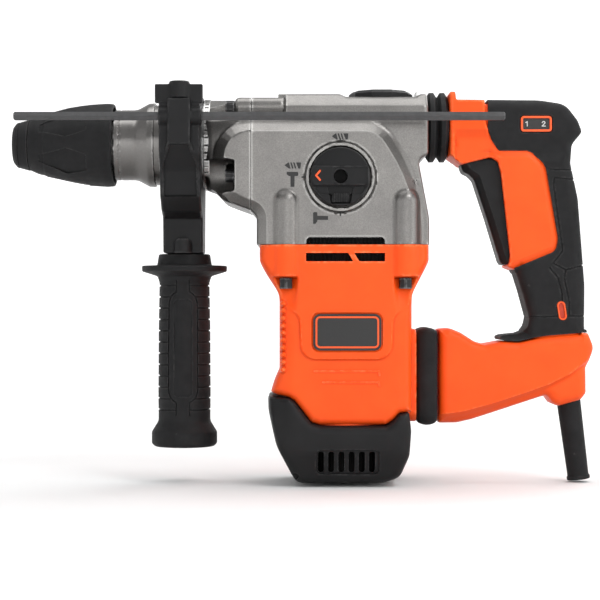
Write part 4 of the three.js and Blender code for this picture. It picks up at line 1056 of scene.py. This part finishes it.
# ---------------------------------------------------------------- mode dial, grease cap, badge
def controls():
    top, back = span("mode_dial", 1)

    def dial(x, y, z):
        u, v = x - DIAL_X, z - DIAL_Z
        radius = hypot(u, v)
        face = np.where(v > 6.8, top + 1.2 + 0.22 * (v - 6.8), top + 2.6)
        disc = both(radius - DIAL_R, face - y, 0.8)
        bar = both(both(between(v, -5.8, 6.8), radius - DIAL_R + 0.2, 0.6), top - y, 0.7)
        body = either(disc, bar, 0.4)
        shelf = both(both(radius - DIAL_R + 1.4, between(v, -11.4, -6.6), 0.4), y - top - 3.4)
        slot = both(both(np.abs(u) - 8.6 - 0.2 * (v + 6), between(v, -17.6, -6.6), 0.8), y + 44.2)
        body = cut(body, minimum(shelf, slot), 0.3)
        pocket = both(block(u, -4.9, 17.5, v, -4.9, 5.9, 0.8), y - top - 0.6)
        body = cut(body, pocket, 0.2)
        body = cut(body, both(radius - 4.4, y - top - 5.5), 0.5)
        hub = both(radius - 13, y - back)
        hub = maximum(hub, between(y, top + 5, back))
        return maximum(minimum(maximum(body, y + 43.4), hub), y - back)

    piece("dial_knob", dial, BLACK, "dial", 0.45, like="mode_dial")

    # a near-black disc at the bottom of the dial's centre hole: painted shade
    def socket(x, y, z):
        return both(rod(x, z, DIAL_X, DIAL_Z, 4.2), between(y, top + 2.2, top + 6), 0.2)

    piece(
        "dial_hole_painted_shade", socket, SHADE, "dial", 0.4,
        low=(DIAL_X - 4.5, top + 2, DIAL_Z - 4.5), high=(DIAL_X + 4.5, top + 6.2, DIAL_Z + 4.5),
    )

    across, deep, upright = (span("dial_lock_button", axis) for axis in range(3))

    def button(x, y, z):
        body = both(block(x, *across, z, *upright, 0.8), between(y, *deep), 0.6)
        ribs = np.abs(np.mod(x - across[0], 1.6) - 0.8) - 0.3
        return cut(body, both(ribs, y - deep[0] - 0.7), 0.1)

    piece("dial_latch", button, BLACK, "dial_button", 0.3, like="dial_lock_button")

    chevron = [(DIAL_X - 13.4, DIAL_Z + 3.4), (DIAL_X - 15.9, DIAL_Z + 0.5), (DIAL_X - 13.4, DIAL_Z - 2.4)]

    def pointer(x, y, z):
        return both(path_distance(chevron, x, z) - 0.62, between(y, top - 0.25, top + 0.6), 0.12)

    piece(
        "dial_pointer", pointer, MARK_ORANGE, "dial", 0.25,
        low=(DIAL_X - 17, top - 0.3, DIAL_Z - 4), high=(DIAL_X - 12, top + 1, DIAL_Z + 5),
    )

    low_z, high_z = span("grease_cap", 2)

    def cap(x, y, z):
        u = x - CAP_X
        radius = hypot(u, y)
        angle = np.mod(np.arctan2(y, u), math.radians(36)) - math.radians(18)
        faceted = radius * np.cos(angle) - 20.7
        body = both(faceted, between(z, 256.9, high_z), 0.4)
        body = maximum(body, (faceted + (z - high_z) * 1.3 + 2.6) / 1.64)
        dish = both(radius - 12, high_z - 0.7 - z)
        plug = both(radius - 17.0, between(z, low_z, 257.5))
        return minimum(cut(body, dish, 0.3), plug)

    piece("grease_lid", cap, BLACK, "tool", 0.55, like="grease_cap")


def marks():
    """Raised generic pictograms and tick marks on the casting's left face."""
    drill = [
        outline([(-5.4, 0.1), (-3.0, 2.0), (-2.5, 2.0), (-1.4, -2.0), (-2.5, -2.0)]),
        *[outline([(a, 2.0), (a + 1.0, 2.0), (a + 2.2, -2.0), (a + 1.2, -2.0)]) for a in (-1.7, 0.2)],
        outline([(2.1, 2.0), (5.4, 2.0), (5.0, -2.0), (3.6, -2.0)]),
    ]
    hammer = [outline([
        (-3.8, 4.9), (3.3, 4.9), (3.8, 4.3), (3.8, 2.5), (3.1, 2.1), (1.4, 2.1), (1.3, -4.9), (-1.3, -4.9),
        (-1.3, 2.1), (-2.2, 2.1), (-3.8, 3.3),
    ])]
    parts = [
        ("pictogram_drill_upper", drill, -4.3, 228.6, 0),
        ("pictogram_drill_front", drill, -35.1, 209.7, 0),
        ("pictogram_hammer_front", hammer, -35.3, 200.7, 0),
        ("pictogram_hammer_lower", hammer, -17.0, 175.6, 90),
    ]
    for name, shapes, x0, z0, turn in parts:
        c, s = math.cos(math.radians(turn)), math.sin(math.radians(turn))

        def field(x, y, z):
            u, v = (x - x0) * c + (z - z0) * s, (z - z0) * c - (x - x0) * s
            flat = shapes[0](u, v)
            for shape in shapes[1:]:
                flat = minimum(flat, shape(u, v))
            return both(flat, between(y, FACE_Y - 0.3, FACE_Y + 0.5), 0.1)

        piece(
            name, field, MARK_DARK, "tool", 0.26,
            low=(x0 - 6, FACE_Y - 0.4, z0 - 6), high=(x0 + 6, FACE_Y + 0.6, z0 + 6),
        )
    for name, turn in (("tick_top", 90), ("tick_front", 180), ("tick_bottom", 270)):
        c, s = math.cos(math.radians(turn)), math.sin(math.radians(turn))
        inner, outer = DIAL_R + 4.4, DIAL_R + 5.8
        x0, z0 = DIAL_X + c * (inner + outer) / 2, DIAL_Z + s * (inner + outer) / 2
        ends = [(DIAL_X + c * inner, DIAL_Z + s * inner), (DIAL_X + c * outer, DIAL_Z + s * outer)]

        def field(x, y, z):
            return both(path_distance(ends, x, z) - 0.5, between(y, FACE_Y - 0.25, FACE_Y + 0.5), 0.12)

        piece(
            name, field, MARK_DARK, "tool", 0.3,
            low=(x0 - 3, FACE_Y - 0.5, z0 - 3), high=(x0 + 3, FACE_Y + 0.6, z0 + 3),
        )


def badge():
    y0, y1 = -43.4, -41.6  # its face and its back
    x0, x1 = span("badge_plate", 0)
    z0, z1 = span("badge_plate", 2)
    sheet = outline(box4(x0, x1, z0, z1, 4.5))

    def plate(x, y, z):
        flat = sheet(x, z)
        body = both(flat, between(y, y0, y1), 0.3)
        return cut(body, both(between(-flat, 1.2, 3.0), y - y0 - 0.5), 0.15)

    def border(x, y, z):
        return both(between(-sheet(x, z), 1.5, 2.7), between(y, y0 + 0.1, y0 + 0.9), 0.15)

    low, high = (x0, y0, z0), (x1, y1, z1)
    piece("badge_face", plate, MARK_DARK, "tool", 0.4, low=low, high=high, replaces=("badge_plate",))
    piece("badge_border", border, MARK_ORANGE, "tool", 0.35, low=low, high=high)


# ---------------------------------------------------------------- side handle
def bracket():
    side = outline([
        (-59, 252, 1), (-45, 252, 1), (-40, 243, 4), (-20, 252, 6), (0, 259.5, 12), (20, 252, 10),
        (32, 236, 12), (33.5, 215, 14), (21, 196, 6), (16, 180, 3), (16, 153.5, 1), (-16, 153.5, 1),
        (-17.5, 176.5, 2), (-30, 180.5, 3), (-42, 189.5, 2), (-46, 206, 6), (-59, 223, 3),
    ])
    face = outline(mirrored([(12.2, 150), (13, 180, 4), (12.7, 210, 4), (7.4, 224, 2), (7.4, 260)]))
    panel = outline(mirrored([(10.8, 189.5, 1), (10.4, 210.5, 3), (5.6, 222.3, 1)]))

    def field(x, y, z):
        along = x - GRIP_X
        profile = side(y, z)
        back = both(both(profile, np.abs(along) - 13.2, 1.5), -54.5 - y, 1.0)
        front = both(profile, face(along, z), 1.2)
        body = either(back, front, 0.6)
        body = cut(body, both(panel(along, z), -profile - 1.4), 0.3)
        boss = both(rod(y, z, ROD_Y, ROD_Z, 6.3), np.abs(along - 0.4) - 13.8, 1.2)
        body = either(body, boss, 0.8)
        knuckle = both(hypot(along, y + 15) - 6.2, between(z, 148, 163))
        knuckle = maximum(knuckle, hypot(along, z - 157) - 6.6)
        body = either(body, maximum(knuckle, 153.5 - z), 0.8)
        body = maximum(body, -(from_axis(y, z) - 28.9))
        body = maximum(body, -hexagon(y - ROD_Y, z - ROD_Z, 7.2, math.pi / 6))
        body = maximum(body, -both(rod(x, y, GRIP_X, ROD_Y, SCREW_ROOM), 243 - z))
        return maximum(body, -both(rod(x, y, GRIP_X, 0, 4.3), z - 185))

    piece("bracket_clamp", field, BLACK, "side_handle", 0.7, like="side_bracket")

    low, high = span("clamp_band", 0)

    def band(x, y, z):
        radial = from_axis(y, z)
        arc = np.arctan2(z - AXIS_Z, y) * 28.5
        strap = block(radial, 27.15, 28.5, x, low, high, 0.3)
        knurl = both(np.abs(np.mod(arc, 4.2) - 2.1) - 0.55, between(x, high - 3.4, high - 0.9))
        return cut(strap, both(knurl, 28.0 - radial), 0.1)

    piece("clamp_strap", band, STEEL_X, "side_handle", 0.5, like="clamp_band")


def side_grip():
    profile = outline([
        (23.8, -9), (23.8, 20.0, 2.5), (26, 22, 2), (33.5, 22, 3), (41, 17.4, 6), (60, 17.6, 40),
        (100, 17.4, 40), (134, 16.8, 5), (138.2, 18.2, 2), (141.4, 28.5, 1), (145.2, 28.7, 1),
        (145.6, 18.4, 1), (153, 17.2, 1.2), (153, -9),
    ])
    rows, pitch, top = 12, 7.55, 135.6  # of the grooves round the grip
    oblong = outline(box4(-10.2, 10.2, 53.1, 128.3, 9.6))
    plate = outline(box4(-6.1, 6.1, 57.7, 122.4, 3))

    def field(x, y, z):
        u = x - GRIP_X
        radial = hypot(u, y)
        body = profile(z, radial)
        angle = np.arctan2(u, -y)
        folded = np.where(np.abs(angle) > math.pi / 2, np.sign(angle) * math.pi - angle, angle)
        arc = folded * 17.4
        middle_panel = minimum(oblong(arc, z), np.abs(arc) - 4.4)
        row = np.mod(top - z, pitch)
        zone = between(z, top - rows * pitch, top)
        lines = maximum(np.abs(row - pitch / 2) - 0.5, -middle_panel)
        border = np.abs(middle_panel) - 0.5
        grooves = maximum(minimum(lines, border), zone)
        body = cut(body, both(grooves, -0.9 - body), 0.25)
        body = cut(body, both(plate(arc, z), -0.55 - body), 0.25)
        return minimum(body, both(radial - 4, between(z, 150, span("side_grip", 2)[1])))

    piece("grip_tube", field, RUBBER, "side_grip", 0.55, like="side_grip")


def rod_and_knob():
    low, high = span("depth_rod", 0)

    def rod_field(x, y, z):
        flats = hexagon(y - ROD_Y, z - ROD_Z, 5.3, math.pi / 6)
        return chamfered(flats, between(x, low, high - 1.4), 0.8)

    piece("depth_gauge", rod_field, ROD_STEEL, "depth_rod", 0.5, like="depth_rod")

    bottom, top = span("wing_knob", 2)

    def knob(x, y, z):
        u, v = x - GRIP_X, y - ROD_Y
        radius = hypot(u, v)
        hub = both(radius - 6.6, between(z, 252.3, top), 1.0)
        wing = both(np.abs(u + 0.3) - 15.4, np.abs(v) - 3.1 + 0.02 * np.abs(u), 1)
        wing = both(wing, between(z, 249.4, 261.4), 0.8)
        stud = both(radius - 2.5, between(z, bottom, 254))
        return minimum(either(hub, wing, 1.2), stud)

    piece("wing_screw", knob, BLACK, "wing_knob", 0.5, like="wing_knob")


# ---------------------------------------------------------------- speed window and other trim
def trim():
    x0, x1 = span("indicator_lens", 0)
    z0, z1 = span("indicator_lens", 2)
    glass = outline(box4(x0 - 0.4, x1 - 1.2, z0 - 0.2, z1 + 0.2, 2.2))
    surface = span("indicator_lens", 1)[0] + 0.9

    def lens(x, y, z):
        return both(glass(x, z) + 1.3, between(y, surface + 0.5, surface + 1.6), 0.2)

    def bezel(x, y, z):
        return both(between(-glass(x, z), 0, 1.45), between(y, surface - 0.5, surface + 1.0), 0.3)

    low, high = (x0 - 0.5, surface - 0.6, z0 - 0.3), (x1, surface + 1.7, z1 + 0.3)
    piece("window_glass", lens, MARK_DARK, "handle", 0.35, low=low, high=high, replaces=("indicator_lens",))
    piece("window_bezel", bezel, MARK_ORANGE, "handle", 0.35, low=low, high=high)
    one_x, two_x, mid_z = x0 + 3.9, x0 + 14.8, (z0 + z1) / 2
    one = [(one_x - 0.9, mid_z + 0.9), (one_x, mid_z + 1.5), (one_x, mid_z - 1.5)]
    two = [
        (two_x - 1.0, mid_z + 0.8), (two_x - 0.4, mid_z + 1.5), (two_x + 0.5, mid_z + 1.5),
        (two_x + 1.0, mid_z + 0.7), (two_x - 1.0, mid_z - 1.5), (two_x + 1.1, mid_z - 1.5),
    ]

    def digits(x, y, z):
        flat = minimum(path_distance(one, x, z), path_distance(two, x, z)) - 0.3
        return both(flat, between(y, surface + 0.2, surface + 0.8), 0.08)

    piece(
        "window_digits", digits, MARK_LIGHT, "handle", 0.2,
        low=(one_x - 2, surface + 0.1, mid_z - 2), high=(two_x + 2, surface + 0.9, mid_z + 2),
    )
    bed = 17.3  # how far from the middle plane the grip's inlays start
    for name, sign in SIDES:
        def ring(x, y, z):
            return both(between(-oval_distance(x, z), 0, 1.0), between(y * sign, bed, bed + 2.5), 0.25)

        # the oval's floor is painted darker orange: painted shade in the recess
        def floor(x, y, z):
            return both(oval_distance(x, z) + 0.9, between(y * sign, bed, bed + 1.0), 0.2)

        y0, y1 = sorted((17.2 * sign, 20.0 * sign))
        low, high = (139.5, y0, 108), (147.5, y1, 122)
        piece(f"grip_accent_{name}", ring, MARK_ORANGE, "handle", 0.35, low=low, high=high)
        piece(f"grip_accent_floor_{name}", floor, PAINTED_SHADE_ORANGE, "handle", 0.35, low=low, high=high)

    def catch(x, y, z):
        plate = both(block(x, 46.9, 51.6, z, 255.6, 261.9, 0.8), np.abs(y) - 8, 0.5)
        return cut(plate, both(between(x, 48.4, 52.5), 259.4 - z), 0.3)

    piece("cover_clip", catch, STEEL_Y, "tool", 0.4, low=(46.5, -8.5, 255), high=(52, 8.5, 262.2))


def finish_frame():
    """Procedural materials for the CAD nodes that stay."""
    groups = (
        (STEEL_Z, "armature_shaft upper_bearing lower_bearing stator_core"),
        (STEEL_Z, "crank_gear intermediate_gear bevel_pinion"),
        (STEEL_Y, "sway_pin"),
        (CAST, "bearing_plate"),
        (BLACK, "cooling_fan switch_module"),
        (DARK_STEEL, "armature_core"),
        (COPPER, "stator_winding commutator"),
        (CARBON, "carbon_brush_left carbon_brush_right"),
        (BRASS, "brush_holder_left brush_holder_right"),
    )
    chosen = {name: material for material, names in groups for name in names.split()}
    for name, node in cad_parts.items():
        node.data.materials.clear()
        node.data.materials.append(chosen.get(name, STEEL_X))
        node.data.set_sharp_from_angle(angle=math.radians(30))


# ---------------------------------------------------------------- camera, lights and floor
CAMERA_DISTANCE = 1200.0
IMAGE_CENTRE = (-30.4, 122.2)  # where the camera looks, along X and Z
LENS = 106.7
LIGHT_AIM = (-0.03, 0, 0.13)  # in metres, like the places of the lights


def camera():
    data = bpy.data.cameras.new("camera")
    data.lens = LENS
    data.sensor_width = 36
    data.clip_start, data.clip_end = 0.05, 20
    obj = bpy.data.objects.new("camera", data)
    obj.location = Vector((IMAGE_CENTRE[0], -CAMERA_DISTANCE, IMAGE_CENTRE[1])) * MM
    obj.rotation_euler = (math.pi / 2, 0, 0)
    bpy.context.scene.collection.objects.link(obj)
    bpy.context.scene.camera = obj


def light(name, place, size, power):
    data = bpy.data.lights.new(name, "AREA")
    data.shape = "RECTANGLE"
    data.size, data.size_y = size
    data.energy = power
    obj = bpy.data.objects.new(name, data)
    obj.location = place
    obj.rotation_euler = (Vector(LIGHT_AIM) - Vector(place)).to_track_quat("-Z", "Y").to_euler()
    obj.visible_camera = False
    bpy.context.scene.collection.objects.link(obj)


def floor_mesh(cells=64, reach=4.0, flat=2.2, rim=3.0):
    """Points in millimetres and faces of a flat floor that curves up all round, sized in metres."""
    line = np.linspace(-reach, reach, cells + 1)
    x, y = np.meshgrid(line, line)
    z = minimum(0.9 * maximum(hypot(x, y) - flat, 0) ** 2, rim) - 0.0004
    first = (np.arange(cells)[:, None] * (cells + 1) + np.arange(cells)).ravel()
    faces = np.stack([first, first + 1, first + cells + 2, first + cells + 1], axis=1)
    return np.stack([x.ravel(), y.ravel(), z.ravel()], axis=1) / MM, faces


def studio():
    world = bpy.data.worlds.new("studio")
    world.use_nodes = True
    tree = world.node_tree
    background = tree.nodes["Background"]
    background.inputs["Color"].default_value = (1, 1, 1, 1)
    split = tree.nodes.new("ShaderNodeSeparateXYZ")
    fade = tree.nodes.new("ShaderNodeMapRange")
    for name, value in (("From Min", -0.2), ("From Max", 0.9), ("To Min", 0.16), ("To Max", 0.42)):
        fade.inputs[name].default_value = value
    tree.links.new(tree.nodes.new("ShaderNodeTexCoord").outputs["Generated"], split.inputs[0])
    tree.links.new(split.outputs[2], fade.inputs["Value"])
    tree.links.new(fade.outputs[0], background.inputs["Strength"])
    bpy.context.scene.world = world
    light("key_light", (0.65, -0.8, 1.2), (0.6, 0.4), 7.0)
    light("front_light", (0.3, -1.7, 0.5), (1.2, 0.8), 2.6)
    light("rear_light", (0.6, 0.9, 0.9), (0.8, 0.5), 4)
    light("top_light", (-0.05, 0.1, 1.2), (1.4, 0.8), 9)
    light("side_light", (1.1, -0.5, 0.45), (0.4, 0.8), 1.8)
    floor = mesh_object("floor", *floor_mesh(), sharp=60)
    f = Finish("pale_paper", "floor")
    tone = f.mix(f.ranged(f.noise(300, 3), 0.3, 0.7), rgb(236, 236, 236), rgb(242, 242, 242))
    away = f.node("ShaderNodeVectorMath", {0: f.place}, operation="LENGTH").outputs[1]
    height = f.node("ShaderNodeSeparateXYZ", {"Vector": f.place}).outputs[2]
    glow = f.times(f.ranged(away, 0.3, 1.8, 0.0, 0.62), f.ranged(height, 0.8, 1.6, 1.0, 0.1))
    white = (1, 1, 1, 1)
    normal = f.bump(f.noise(2.0, 3), 0.02)
    paper = f.done(tone, 0.9, 0.0, normal, Emission_Color=white, Emission_Strength=glow)
    floor.data.materials.append(paper)


camera()
studio()
gear_housing()
front_housing()
screws()
motor_housing()
shade_the_openings()
base_cap()
for half, way in SIDES:
    shell_half(half, way)
for half, way in SIDES:
    overmold_half(half, way)
trigger()
cord_guard()
damper()
chuck()
controls()
marks()
badge()
bracket()
side_grip()
rod_and_knob()
trim()
finish_frame()

bpy.context.scene.view_settings.view_transform = "Standard"
